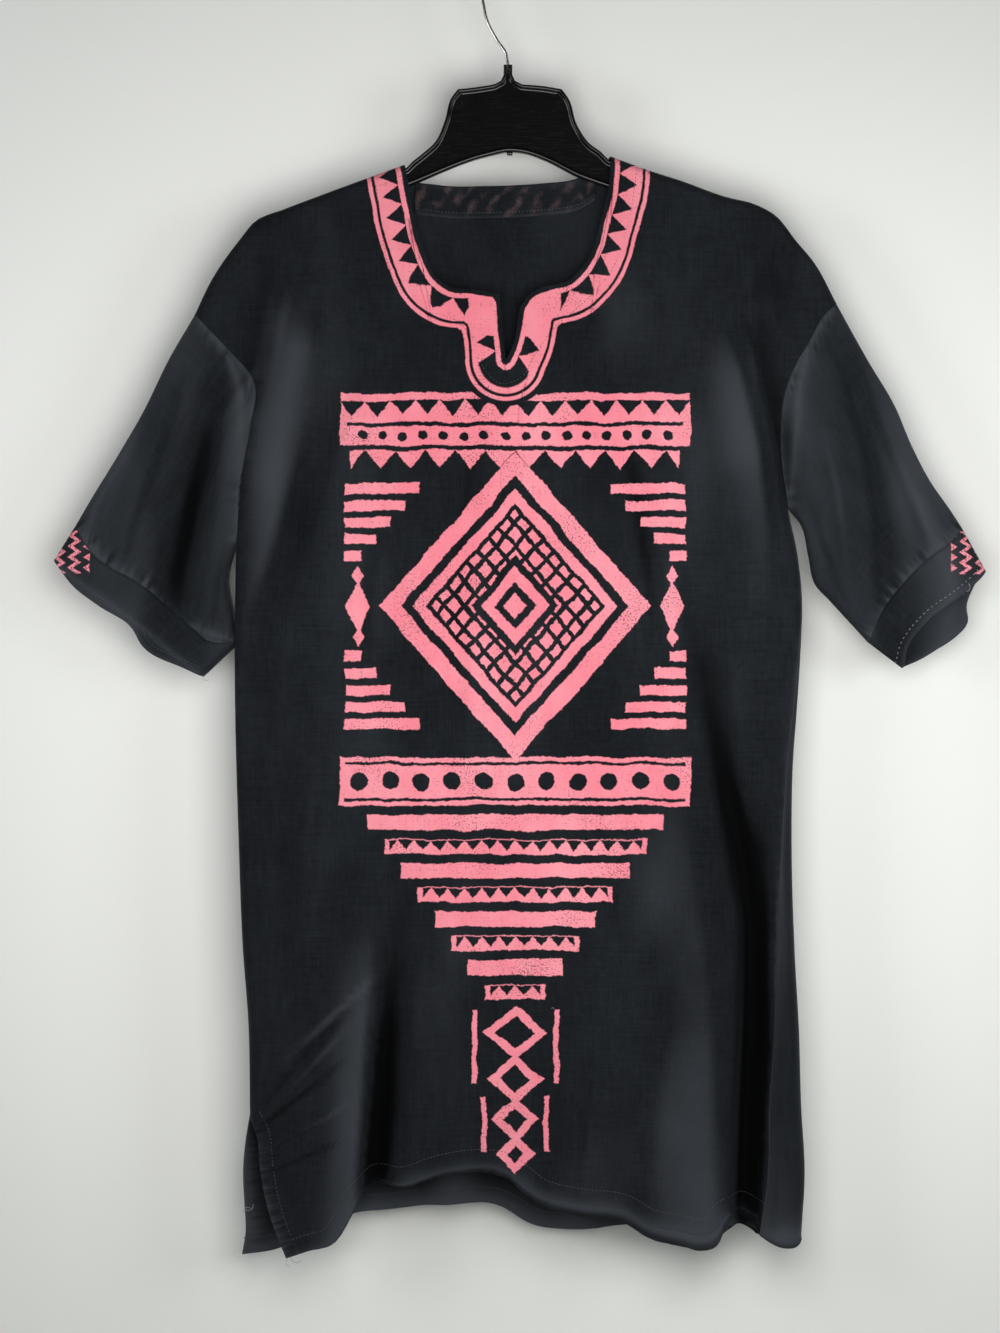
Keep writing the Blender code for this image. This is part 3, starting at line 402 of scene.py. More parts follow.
def clear_of_neck(places, top):
    """Places whose rows are moved sideways where they would cross the neck's edge."""
    lines = {
        1: np.vstack([smooth(NECK_LEFT), smooth(SLIT_LEFT)]),
        -1: np.vstack([smooth(NECK_RIGHT[::-1]), smooth(SLIT_RIGHT[::-1])]),
    }
    down = -places[..., 1]
    for way, line in lines.items():
        shares = np.interp(top[:, 0], *zip(*NECK_SHARES[way]))
        edge = np.interp(down, -line[:, 1], line[:, 0])
        within = (down > -line[0, 1]) & (down < -line[-1, 1]) & (shares > 0)
        over = np.where(within, way * (places[..., 0] - edge) + NECK_MARGIN * DOWN[:, None], 0).max(axis=1)
        over = np.convolve(over, np.ones(5) / 5, "same") * np.clip(DOWN / DOWN[3], 0, 1)
        places[..., 0] -= way * over[:, None] * shares
    return places


def front_panel_places():
    """Places of the front, row by row."""
    top = np.vstack([
        along(smooth(SHOULDER_LEFT), spread(38, 0.9, 0.3))[:-1],
        along(smooth(NECK_LEFT), spread(28, 0.7))[:-1],
        along(smooth(SLIT_LEFT), np.linspace(0, 1, 10))[:-1],
        along(smooth(SLIT_RIGHT), np.linspace(0, 1, 9))[:-1],
        along(smooth(NECK_RIGHT), spread(28, 0, 0.7))[:-1],
        along(smooth(SHOULDER_RIGHT), spread(38, 0.3, 0.9)),
    ])
    bottom, across = hem_points(HEM_FRONT, top, FRONT_HEM_SPREAD)
    left = rows_of_side(ARMHOLE_FRONT_LEFT, SIDE_LEFT, VENT_FRONT_LEFT)
    right = np.vstack([along(smooth(ARMHOLE_FRONT_RIGHT), ARMHOLE_ROWS), seam_right])
    right[-1] = bottom[-1]
    places = patch(top, bottom, left, right, across, DOWN)
    return clear_of_neck(places, top)


def placed(name, data):
    """An object with this data, in the scene."""
    thing = bpy.data.objects.new(name, data)
    bpy.context.scene.collection.objects.link(thing)
    return thing


def piece_from(name, bm):
    """A piece made of a bmesh, which is freed."""
    mesh = bpy.data.meshes.new(name)
    bm.to_mesh(mesh)
    bm.free()
    return placed(name, mesh)


def cloth_sheet(name, grid, weave, wear_and_shade, reverse, closed=False, border=None):
    """A thin shell on a grid of outer points in millimetres, with its weave's coordinates and its wear with
    painted light and shade.
    """
    rows, columns = grid.shape[:2]
    bm = bmesh.new()
    bmesh.ops.create_grid(bm, x_segments=columns - 1, y_segments=rows - 1, size=1)
    for vertex, place in zip(bm.verts, grid.reshape(-1, 3) * MM):
        vertex.co = place
    maps = {"weave": weave, "border": border}
    for key, flat in maps.items():
        if flat is None:
            continue
        layer = bm.loops.layers.uv.new(key)
        flat = flat.reshape(-1, 2) * MM
        for face in bm.faces:
            for loop in face.loops:
                loop[layer].uv = flat[loop.vert.index]
    worn_and_shaded = bm.verts.layers.float.new("wear_and_shade")
    for vertex, value in zip(bm.verts, wear_and_shade.reshape(-1)):
        vertex[worn_and_shaded] = value
    if reverse:
        bmesh.ops.reverse_faces(bm, faces=bm.faces)
    if closed:
        ends = [v for v in bm.verts if v.index % columns in (0, columns - 1)]
        bmesh.ops.remove_doubles(bm, verts=ends, dist=1e-7)
    for face in bm.faces:
        face.smooth = True
    piece = piece_from(name, bm)
    shell = piece.modifiers.new("shell", "SOLIDIFY")
    shell.thickness = SHELL * MM
    shell.offset = -1
    return piece


def wear_and_painted_shade(places, lines, reach=5.0, folds=(), creases=(), ripple_shading=0.0):
    """How worn the cloth is at its edges, plus painted light and shade: lighter on fold ridges, darker in
    troughs, creases and ripples. Below 0 it is painted shade.
    """
    gap = np.min([distance(places, line) for line in lines], axis=0)
    depth = fold_depth(places, folds) if folds else np.zeros(places.shape[:-1])
    rubbed = np.array([noise.noise((x / 45, y / 110, 3.7)) for x, y in places.reshape(-1, 2)])
    # ridge is painted highlight on fold ridges, less painted shade in troughs; small is painted light and
    # shade of creases and ripples.
    ridge = RIDGE_WEAR_AND_HIGHLIGHT * np.clip(-depth / 9, 0, 1) - HOLLOW_SHADE * np.clip(depth / HOLLOW_SHADE_DEPTH, 0, 1) ** 1.5
    small = CREASE_SHADING * fold_depth(places, creases) + RIPPLE_SHADING * ripple_shading
    return 0.75 * np.exp(-gap / reach) + ridge - small + 0.35 * rubbed.reshape(gap.shape)


def unrolled(grid):
    """A grid's places laid flat: how far across its rows and down its columns each point lies."""
    across = np.linalg.norm(np.diff(grid, axis=1), axis=-1).mean(axis=0)
    down = np.linalg.norm(np.diff(grid, axis=0), axis=-1).mean(axis=1)
    u, v = np.concatenate([[0], np.cumsum(across)]), np.concatenate([[0], np.cumsum(down)])
    return np.stack(np.broadcast_arrays(u[None], -v[:, None]), axis=-1)


def node(tree, kind, inputs=None, **settings):
    """A shader node with these settings, its inputs linked or set."""
    made = tree.nodes.new(kind)
    for key, value in settings.items():
        setattr(made, key, value)
    for key, value in (inputs or {}).items():
        if isinstance(value, bpy.types.NodeSocket):
            tree.links.new(value, made.inputs[key])
        else:
            made.inputs[key].default_value = value
    return made


def calc(tree, operation, *values):
    """A Math node's result."""
    return node(tree, "ShaderNodeMath", dict(enumerate(values)), operation=operation).outputs[0]


def fade(tree, value, low, high, start=0.0, end=1.0):
    """A value eased from one range to another."""
    inputs = {"Value": value, "From Min": low, "From Max": high, "To Min": start, "To Max": end}
    return node(tree, "ShaderNodeMapRange", inputs, interpolation_type="SMOOTHSTEP").outputs[0]


def mixed(tree, share, first, second):
    """A colour between two colours."""
    inputs = {"Factor": share, 6: first, 7: second}
    return node(tree, "ShaderNodeMix", inputs, data_type="RGBA").outputs[2]


def grain(tree, place, scale, detail=2.0):
    """Plain noise at a place."""
    inputs = {"Vector": place, "Scale": scale, "Detail": detail}
    return node(tree, "ShaderNodeTexNoise", inputs).outputs["Fac"]


def streaks(tree, u, v, across, down, detail=2.0):
    """Noise drawn out in one direction, its cells given in cells for each metre."""
    place = node(tree, "ShaderNodeCombineXYZ", {
        "X": calc(tree, "MULTIPLY", u, across), "Y": calc(tree, "MULTIPLY", v, down),
    }).outputs[0]
    return grain(tree, place, 1.0, detail)


THREAD_PITCH = 0.00046


def plain_weave_group():
    """Threads over and under one another, uneven yarn, and the soft fading of washed black cotton."""
    tree = bpy.data.node_groups.new("plain_weave", "ShaderNodeTree")
    tree.interface.new_socket("Place", in_out="INPUT", socket_type="NodeSocketVector")
    for name in ("Height", "Tone", "Faded"):
        tree.interface.new_socket(name, in_out="OUTPUT", socket_type="NodeSocketFloat")
    inside, outside = node(tree, "NodeGroupInput"), node(tree, "NodeGroupOutput")
    split = node(tree, "ShaderNodeSeparateXYZ", {"Vector": inside.outputs["Place"]})
    u, v = split.outputs["X"], split.outputs["Y"]
    warp, weft = (
        calc(tree, "SINE", calc(tree, "MULTIPLY", side, math.pi / THREAD_PITCH)) for side in (u, v)
    )
    crossing = calc(tree, "ABSOLUTE", calc(tree, "MULTIPLY", warp, weft))
    yarn = calc(tree, "ADD", streaks(tree, u, v, 900, 26), streaks(tree, u, v, 22, 760))
    height = calc(tree, "ADD", calc(tree, "MULTIPLY", crossing, 0.45), calc(tree, "MULTIPLY", yarn, 0.55))
    tree.links.new(height, outside.inputs["Height"])
    broad = calc(tree, "MULTIPLY", streaks(tree, u, v, 240, 200, 3.0), 0.3)
    tone = calc(tree, "ADD", calc(tree, "MULTIPLY", yarn, 0.35), broad)
    tree.links.new(fade(tree, tone, 0.3, 0.7), outside.inputs["Tone"])
    small = calc(tree, "MULTIPLY", streaks(tree, u, v, 70, 40), 0.35)
    faded = calc(tree, "ADD", streaks(tree, u, v, 9, 5, 3.0), small)
    tree.links.new(fade(tree, faded, 0.45, 0.95), outside.inputs["Faded"])
    return tree


plain_weave = plain_weave_group()
# The third black is worn cotton and also the painted highlight (bluish like sheen) on fold ridges; the next
# near-black is painted shade in troughs and creases.
BLACKS = [(0.0032, 0.0042, 0.0058, 1), (0.0130, 0.0156, 0.0190, 1), (0.044, 0.049, 0.058, 1)]
PAINTED_SHADE_BLACK = (0.0004, 0.0006, 0.0009, 1)
PRINT_PINK = (0.78, 0.205, 0.262, 1)
PALE_PINK = (0.84, 0.300, 0.360, 1)
COTTON_ROUGHNESS = 0.86
INK_SMOOTHING = 0.14


def new_material(name):
    """A new material, its nodes and its shader."""
    material = bpy.data.materials.new(name)
    material.use_nodes = True
    return material, material.node_tree, material.node_tree.nodes["Principled BSDF"]


def bumpy(tree, shader, height, strength, distance):
    """Gives a shader's surface a fine relief."""
    bump = node(tree, "ShaderNodeBump", {"Height": height, "Strength": strength, "Distance": distance})
    tree.links.new(bump.outputs[0], shader.inputs["Normal"])


def cotton(name, print_mask=None, pinks=(PRINT_PINK, PALE_PINK)):
    """Washed black cotton: fresh and faded black, a bluish worn black that is also painted highlight, a
    near-black of painted shade in hollows, with pink ink where a mask says.
    """
    material, tree, shader = new_material(name)
    place = node(tree, "ShaderNodeUVMap", uv_map="weave").outputs[0]
    weave = node(tree, "ShaderNodeGroup", {"Place": place}, node_tree=plain_weave)
    height, tone, faded = (weave.outputs[key] for key in ("Height", "Tone", "Faded"))
    worn_and_shaded = node(tree, "ShaderNodeAttribute", attribute_name="wear_and_shade").outputs["Fac"]
    share = calc(tree, "ADD", calc(tree, "MULTIPLY", faded, 0.5), calc(tree, "MULTIPLY", tone, 0.7))
    colour = mixed(tree, share, BLACKS[0], BLACKS[1])
    # Lighter towards the worn black where worn and painted highlight; darker towards the painted shade black
    # in fold troughs and creases.
    colour = mixed(tree, fade(tree, worn_and_shaded, 0.0, 1.5), colour, BLACKS[2])
    colour = mixed(tree, fade(tree, worn_and_shaded, -1.1, 0.0, 1.0, 0.0), colour, PAINTED_SHADE_BLACK)
    shader.inputs["Roughness"].default_value = COTTON_ROUGHNESS
    if print_mask:
        mask = print_mask(tree, place)
        thin = fade(tree, tone, 0.0, 0.35, 0.72, 1.0)
        ink = mixed(tree, faded, *pinks)
        colour = mixed(tree, calc(tree, "MULTIPLY", mask, thin), colour, ink)
        height = calc(tree, "ADD", height, calc(tree, "MULTIPLY", mask, 0.5))
        roughness = calc(tree, "SUBTRACT", COTTON_ROUGHNESS, calc(tree, "MULTIPLY", mask, INK_SMOOTHING))
        tree.links.new(roughness, shader.inputs["Roughness"])
    tree.links.new(colour, shader.inputs["Base Color"])
    bumpy(tree, shader, height, 0.32, 0.0004)
    shader.inputs["Sheen Weight"].default_value = 0.07
    shader.inputs["Sheen Roughness"].default_value = 0.28
    shader.inputs["Sheen Tint"].default_value = (0.70, 0.78, 0.90, 1)
    shader.inputs["Specular IOR Level"].default_value = 0.08
    return material


# The front's print is cut by hand and pressed on in pink ink that lets the weave show.
# Its shapes are signed distances in millimetres, across from the middle and down from the hook.
PRINT_MIDDLE = 6.0
PRINT_WIDTH = 292
HAND_WOBBLE = 3.6
BAND_GAP = 37.5


def bar(tree, x, d, middle, down, width, height):
    """Distance to a rectangle."""
    side = calc(tree, "ABSOLUTE", calc(tree, "SUBTRACT", x, middle))
    end = calc(tree, "ABSOLUTE", calc(tree, "SUBTRACT", d, down))
    past_side, past_end = calc(tree, "SUBTRACT", side, width / 2), calc(tree, "SUBTRACT", end, height / 2)
    return calc(tree, "MAXIMUM", past_side, past_end)


def lozenge(tree, x, d, middle, down, width, height):
    """Distance to a lozenge."""
    side = calc(tree, "DIVIDE", calc(tree, "ABSOLUTE", calc(tree, "SUBTRACT", x, middle)), width / 2)
    end = calc(tree, "DIVIDE", calc(tree, "ABSOLUTE", calc(tree, "SUBTRACT", d, down)), height / 2)
    scale = width * height / (2 * math.hypot(width, height))
    return calc(tree, "MULTIPLY", calc(tree, "SUBTRACT", calc(tree, "ADD", side, end), 1.0), scale)


def teeth(tree, x, d, base, height, pitch):
    """Distance to a row of teeth that stand on a line and point down."""
    tip = calc(tree, "MULTIPLY", calc(tree, "PINGPONG", x, pitch / 2), 2 * height / pitch)
    lower = calc(tree, "SUBTRACT", calc(tree, "SUBTRACT", d, base), tip)
    lower = calc(tree, "MULTIPLY", lower, pitch / (2 * math.hypot(height, pitch / 2)))
    return calc(tree, "MAXIMUM", lower, calc(tree, "SUBTRACT", base, d))


def dots(tree, x, d, down, radius, pitch):
    """Distance to a row of dots."""
    wave = calc(tree, "SUBTRACT", pitch / 2, calc(tree, "PINGPONG", x, pitch / 2))
    off = calc(tree, "SUBTRACT", d, down)
    far = calc(tree, "ADD", calc(tree, "MULTIPLY", wave, wave), calc(tree, "MULTIPLY", off, off))
    return calc(tree, "SUBTRACT", calc(tree, "SQRT", far), radius)


def merged(tree, *shapes):
    """Shapes as one."""
    total = shapes[0]
    for shape in shapes[1:]:
        total = calc(tree, "MINIMUM", total, shape)
    return total


def clipped(tree, shape, side, reach):
    """A shape cut off where a distance passes its reach."""
    return calc(tree, "MAXIMUM", shape, calc(tree, "SUBTRACT", side, reach))


def without(tree, shape, *holes):
    """A shape with holes."""
    for hole in holes:
        shape = calc(tree, "MAXIMUM", shape, calc(tree, "MULTIPLY", hole, -1.0))
    return shape


def hand_cut(tree, place, amount=HAND_WOBBLE):
    """A place as millimetres across and down, moved a little, as a hand-cut edge wanders."""
    split = node(tree, "ShaderNodeSeparateXYZ", {"Vector": place})
    moved = []
    for axis, sign in ((0, 1.0), (1, -1.0)):
        total = calc(tree, "MULTIPLY", split.outputs[axis], sign * 1000.0)
        for scale, share in ((42.0, 1.6), (330.0, 0.7)):
            made = node(tree, "ShaderNodeTexNoise", {"Vector": place, "Scale": scale, "Detail": 1.5})
            part = node(tree, "ShaderNodeSeparateColor", {"Color": made.outputs["Color"]}).outputs[axis]
            shift = calc(tree, "MULTIPLY", calc(tree, "SUBTRACT", part, 0.5), amount * share)
            total = calc(tree, "ADD", total, shift)
        moved.append(total)
    return moved


def neck_band(tree, x, d, run, gap):
    """A band along the neck with black teeth and a thin black line."""
    band = bar(tree, gap, gap, 18.5, 18.5, 29, 29)
    toothed = without(tree, teeth(tree, run, gap, 8, 15, 17), bar(tree, x, d, 0.0, 288, 76, 44))
    return without(tree, band, toothed, bar(tree, gap, gap, 28.5, 28.5, 2.4, 2.4))


def chest_bar(tree, x, d, side):
    """A wide bar with black teeth, a line and dots, over a fringe of pink teeth."""
    dotted = clipped(tree, dots(tree, x, d, 393.5, 4.0, 17), side, 138)
    chest = bar(tree, x, d, 0.0, 380, PRINT_WIDTH, 44)
    line = bar(tree, x, d, 0.0, 384, 280, 3.4)
    chest = without(tree, chest, teeth(tree, x, d, 364, 13, 21), line, dotted)
    return merged(tree, chest, clipped(tree, teeth(tree, x, d, 406, 15, 25), side, 137.5))


def middle_lozenge(tree, x, d, side):
    """Lozenges inside one another, with a lattice of small ones, and gems and steps beside them."""
    place = (tree, x, d, 0.0, 536)
    rings = [
        without(tree, lozenge(*place, outer, 1.14 * outer), lozenge(*place, inner, 1.14 * inner))
        for outer, inner in ((226, 190), (172, 150), (58, 36))
    ]
    slant = calc(tree, "MULTIPLY", d, 0.873)
    lines = [
        calc(tree, "SUBTRACT", 2.5, calc(tree, "PINGPONG", calc(tree, way, slant, x), 8.5))
        for way in ("ADD", "SUBTRACT")
    ]
    lattice = calc(tree, "MAXIMUM", calc(tree, "MAXIMUM", *lines), lozenge(*place, 140, 160))
    lattice = without(tree, lattice, lozenge(*place, 74, 84))
    gems = [lozenge(tree, side, d, 131, down, *size) for down, size in (
        (536, (20, 44)), (510, (10, 16)), (562, (10, 16)),
    )]
    steps = []
    for k in range(5):
        width = 62 - 12 * k
        for down in (438 + 14 * k, 634 - 14 * k):
            steps.append(bar(tree, side, d, 142 - width / 2, down, width, 8.5))
    return merged(tree, *rings, lattice, lozenge(*place, 20, 23), *gems, *steps)


def belt_bar(tree, x, d, side):
    """A wide bar with two thin lines and a row of dots cut out."""
    shifted = calc(tree, "ADD", x, 13.0)
    dotted = clipped(tree, dots(tree, shifted, d, 682, 7.2, 26), side, 137)
    lines = [bar(tree, x, d, 0.0, down, 284, 2.6) for down in (667, 697)]
    return without(tree, bar(tree, x, d, 0.0, 682, PRINT_WIDTH, 40), dotted, *lines)


def tiers_and_gems(tree, x, d, side):
    """Bars that shorten downwards, every other one toothed, then a chain of hollow lozenges."""
    shapes = []
    for k in range(8):
        width = 246 - 28 * k
        tier = bar(tree, x, d, 0.0, 716 + 20 * k, width, 12.5)
        if k % 2:
            notches = clipped(tree, teeth(tree, x, d, 710.5 + 20 * k, 8.5, 14), side, width / 2 - 4)
            tier = without(tree, tier, notches)
        shapes.append(tier)
    for k in range(4):
        width, height, down = 54 - 7 * k, 44 - 4 * k, 890 + (41 - 2.5 * k) * k
        hole = lozenge(tree, x, d, 0.0, down, width - 20, height - 17)
        shapes.append(without(tree, lozenge(tree, x, d, 0.0, down, width, height), hole))
    shapes += [bar(tree, side, d, 34, 902, 4.2, 62), bar(tree, side, d, 26, 966, 4.2, 46)]
    return merged(tree, *shapes)


def front_print_group():
    """A generic printed front: a toothed neck band, bars, lozenges and dots."""
    tree = bpy.data.node_groups.new("front_print", "ShaderNodeTree")
    for name in ("Place", "Border"):
        tree.interface.new_socket(name, in_out="INPUT", socket_type="NodeSocketVector")
    tree.interface.new_socket("Mask", in_out="OUTPUT", socket_type="NodeSocketFloat")
    inside, outside = node(tree, "NodeGroupInput"), node(tree, "NodeGroupOutput")
    place = inside.outputs["Place"]
    x, d = hand_cut(tree, place)
    x = calc(tree, "SUBTRACT", x, PRINT_MIDDLE)
    side = calc(tree, "ABSOLUTE", x)
    run, gap = hand_cut(tree, inside.outputs["Border"], 1.6)
    gap = calc(tree, "MULTIPLY", gap, -1.0)
    forms = [form(tree, x, d, side) for form in (chest_bar, middle_lozenge, belt_bar, tiers_and_gems)]
    below = calc(tree, "MAXIMUM", merged(tree, *forms), calc(tree, "SUBTRACT", BAND_GAP, gap))
    shape = calc(tree, "MINIMUM", below, neck_band(tree, x, d, run, gap))
    mask = fade(tree, shape, -0.5, 0.5, 1.0, 0.0)
    spots = calc(tree, "ADD", grain(tree, place, 700, 3), calc(tree, "MULTIPLY", grain(tree, place, 16), 0.5))
    rubbed = fade(tree, spots, 0.86, 0.98, 1.0, 0.25)
    tree.links.new(calc(tree, "MULTIPLY", mask, rubbed), outside.inputs["Mask"])
    return tree


front_print = front_print_group()


def front_mask(tree, place):
    """Where the front is printed."""
    border = node(tree, "ShaderNodeUVMap", uv_map="border").outputs[0]
    return node(tree, "ShaderNodeGroup", {"Place": place, "Border": border}, node_tree=front_print).outputs[0]


def beside(line, offset):
    """A line moved square to itself, to its right as it runs."""
    step = np.gradient(line, axis=0)
    step /= np.linalg.norm(step, axis=1, keepdims=True)
    return line + offset * np.stack([step[:, 1], -step[:, 0]], axis=-1)


NECK_STITCH = [
    Spot(-111, 175), Spot(-106, 222), Spot(-97, 258), Spot(-76, 286), Spot(-44, 297), Spot(-28, 314),
    Spot(-21, 336), Spot(-6, 350), Spot(13, 343), Spot(21, 328), Spot(29, 316), Spot(41, 301),
    Spot(52, 292), Spot(86, 256), Spot(102, 208), Spot(108, 168),
]
HEM_STITCH = 13.5
VENT_STITCH = 11
neck_line = np.vstack([smooth(spots, 5) for spots in (NECK_LEFT, SLIT_LEFT, SLIT_RIGHT, NECK_RIGHT)])
side_seam_left = smooth(SIDE_LEFT, 5)
front_seams = [*front_armholes, seam_right, side_seam_left, *shoulder_lines]
front_stitches = [
    beside(hem_front_line, -HEM_STITCH), beside(vent_front_line, -VENT_STITCH), smooth(NECK_STITCH),
]


def front_outside(places):
    """Depth of the front with its seams, turned hem and lines of stitches."""
    depth = front_surface(places) - hem_step(places, [hem_front_line, vent_front_line])
    depth += sum(seam_dip(places, line) for line in front_seams)
    depth += sum(pucker(places, line, 3.3) for line in [*front_armholes, seam_right])
    depth += sum(seam_dip(places, line, 0.35, 1.3) for line in front_stitches)
    return depth


front_places = front_panel_places()
# These ripple heights only set painted light and shade in the front's colour.
front_ripple_shading = vent_gathers(front_places, vent_front_line, FRONT_VENT_SEED)
front_ripple_shading += 0.5 * crumple(front_places, 8.3)
front_ripple_shading += sum(pucker(front_places, line, 3.3, height=0.8) for line in front_seams)
neck_gap, neck_run = nearest(front_places, neck_line)
front_cloth = cloth_sheet(
    "front_cloth", with_depth(front_places, front_outside(front_places)), front_places,
    wear_and_painted_shade(
        front_places, [hem_front_line, vent_front_line, seam_right], 5.0, FRONT_FOLDS, FRONT_CREASES,
        front_ripple_shading,
    ),
    reverse=True, border=np.stack([neck_run, neck_gap], axis=-1),
)
front_cloth.data.materials.append(cotton("printed_cotton", front_mask))
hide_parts("front_panel")
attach(front_cloth, "root")

# Back panel: the same cotton, cut a little longer. On the garment's right it wraps round the fold to the
# front, where the side seam shows. Its turned hem hangs below the front's.
SIDE_ROUND_BACK = 28
BACK_HEM_SPREAD = 0.5
WRAP_INSET = 9.0
HEM_WRAP_DROP = 7

# Edges of the back, how far it stands behind the hook's plane, and its folds
NECK_BACK = [
    Spot(-87, 165), Spot(-81, 175), Spot(-60, 180), Spot(-17, 181), Spot(27, 179), Spot(58, 175),
    Spot(86, 158),
]
ARMHOLE_BACK_LEFT = [
    Spot(-263, 291), Spot(-240, 318), Spot(-225, 354), Spot(-223, 396), Spot(-224, 447),
    Spot(-227, 485),
]
ARMHOLE_BACK_RIGHT = [
    Spot(276, 282), Spot(258, 304), Spot(245, 346), Spot(241, 396), Spot(238, 430), Spot(235, 454),
]
HEM_BACK = [
    Spot(-223, 1079), Spot(-195, 1079), Spot(-166, 1065), Spot(-134, 1050), Spot(-101, 1046),
    Spot(-55, 1041), Spot(-10, 1042), Spot(21, 1059), Spot(87, 1060), Spot(161, 1052),
    Spot(203, 1058), Spot(246, 1062),
]
BACK_SWELL = [Level(150, 9), Level(350, 10), Level(600, 13), Level(900, 17), Level(1090, 17)]
BACK_FOLDS = [
    Trough(30, 26, [Bend(-128, 330, 0), Bend(-148, 520, -6), Bend(-160, 800, -8), Bend(-150, 1080, -9)]),
    Trough(24, 36, [Bend(-40, 260, 0), Bend(-58, 560, -4), Bend(-44, 860, -6), Bend(-52, 1080, -7)]),
    Trough(34, 24, [Bend(74, 300, 0), Bend(60, 620, -5), Bend(76, 900, -7), Bend(70, 1080, -7)]),
    Trough(22, 30, [Bend(168, 380, 0), Bend(158, 700, -6), Bend(150, 1080, -8)]),
]
BACK_CREASES = [
    Trough(7, 8, [Bend(-180, 300, 0), Bend(-172, 380, 1.6), Bend(-176, 470, 0)]),
    Trough(6, 8, [Bend(182, 300, 0), Bend(170, 370, 1.8), Bend(176, 460, 0)]),
    Trough(8, 7, [Bend(-96, 420, 0), Bend(-104, 560, -1.6), Bend(-98, 720, 0)]),
    Trough(6, 9, [Bend(-20, 300, 0), Bend(-12, 430, 1.4), Bend(-18, 590, 0)]),
    Trough(9, 7, [Bend(34, 560, 0), Bend(40, 720, -1.7), Bend(32, 900, 0)]),
    Trough(7, 7, [Bend(112, 460, 0), Bend(118, 640, 1.6), Bend(110, 800, 0)]),
    Trough(6, 8, [Bend(-190, 760, 0), Bend(-180, 860, 1.7), Bend(-186, 1000, 0)]),
    Trough(8, 8, [Bend(196, 720, 0), Bend(190, 860, -1.6), Bend(196, 1010, 0)]),
    Trough(6, 6, [Bend(-70, 880, 0), Bend(-76, 980, 1.3), Bend(-74, 1050, 0)]),
    Trough(7, 6, [Bend(90, 860, 0), Bend(98, 960, 1.5), Bend(92, 1050, 0)]),
]
WRAP_COLUMNS = 14
WRAP_START = 0.84  # share of the right shoulder where the wrapped columns begin
VENT_TOP = 960
FLAP_FADE = 40  # height over which the side's round turn gives way to the vent's flap
BACK_VENT_SEED = 6.4
hem_back_line = smooth(HEM_BACK, 5)
vent_back_line = smooth(VENT_BACK_LEFT, 5)


def back_surface(places):
    """Depth of the back of the body."""
    middle = body_middle(places)
    flat = fold_depth(places, BACK_FOLDS + BACK_CREASES) + level(places, BACK_SWELL)
    flat += crumple(places, 5.5) + hem_waves(places, hem_back_line, 2.2)
    flat += vent_gathers(places, vent_back_line, BACK_VENT_SEED)
    turn = rounded(places, left_back_side, SIDE_ROUND_BACK)
    flap = np.clip((-places[..., 1] - VENT_TOP + 10) / FLAP_FADE, 0, 1)
    turn += flap * (np.clip(distance(places, left_back_side) / SIDE_ROUND_BACK, 0, 1) - turn)
    share = turn * rounded(places, right_side, WRAP_ROUND)
    for line in shoulder_lines:
        share = share * rounded(places, line, SHOULDER_ROUND)
    return middle + (flat - middle) * share


back_neck_line = smooth(NECK_BACK)
back_armholes = [smooth(ARMHOLE_BACK_LEFT, 6), smooth(ARMHOLE_BACK_RIGHT, 6)]
back_seams = [*back_armholes, side_seam_left, *shoulder_lines]
back_stitch = beside(hem_back_line, -HEM_STITCH)


def back_outside(places):
    """Depth of the back with its seams and turned hem."""
    depth = back_surface(places) + hem_step(places, [hem_back_line, vent_back_line])
    depth -= sum(seam_dip(places, line) for line in back_seams)
    return depth - seam_dip(places, back_stitch, 0.35, 1.3)


def back_panel_grid():
    """Outer points of the back, row by row, and their places. Its last columns wrap round to the front."""
    shoulder_right = along(smooth(SHOULDER_RIGHT), np.concatenate([
        WRAP_START * spread(30, 0.3, 0.9), WRAP_START + (1 - WRAP_START) * spread(WRAP_COLUMNS, 0, 0.9)[1:],
    ]))
    top = np.vstack([
        along(smooth(SHOULDER_LEFT), spread(38, 0.9, 0.3))[:-1],
        along(back_neck_line, spread(64, 0.6, 0.6))[:-1],
        shoulder_right[:-WRAP_COLUMNS],
    ])
    bottom, across = hem_points(HEM_BACK, top, BACK_HEM_SPREAD)
    left = rows_of_side(ARMHOLE_BACK_LEFT, SIDE_LEFT, VENT_BACK_LEFT)
    armhole = along(smooth(ARMHOLE_BACK_RIGHT), ARMHOLE_ROWS)
    ease = ARMHOLE_ROWS[:, None]
    inner = armhole + (top[-1] - armhole[0]) * (1 - ease) - np.array([WRAP_INSET, 0]) * ease
    main = patch(top, bottom, left, np.vstack([inner, right_edge]), across, DOWN)

    corner_top = shoulder_right[-WRAP_COLUMNS - 1:]
    shares = (corner_top[:, 0] - corner_top[0, 0]) / (corner_top[-1, 0] - corner_top[0, 0])
    corner_bottom = inner[-1] + shares[:, None] * (armhole[-1] - inner[-1])
    corner = patch(corner_top, corner_bottom, inner, armhole, shares, ARMHOLE_ROWS)

    turn = spread(WRAP_COLUMNS, 0.8)
    wrap = right_edge[:, None] + turn[None, :, None] * (seam_right - right_edge)[:, None]
    wrap[-1, :, 1] -= HEM_WRAP_DROP * np.sin(math.pi * turn**0.7)
    wrap_depth = front_outside(wrap) - hem_step(wrap, [hem_back_line])
    turned = np.concatenate([with_depth(corner, back_outside(corner)), with_depth(wrap, wrap_depth)])
    grid = np.concatenate([with_depth(main, back_outside(main)), turned[:, 1:]], axis=1)
    return grid, np.concatenate([main, np.concatenate([corner, wrap])[:, 1:]], axis=1)


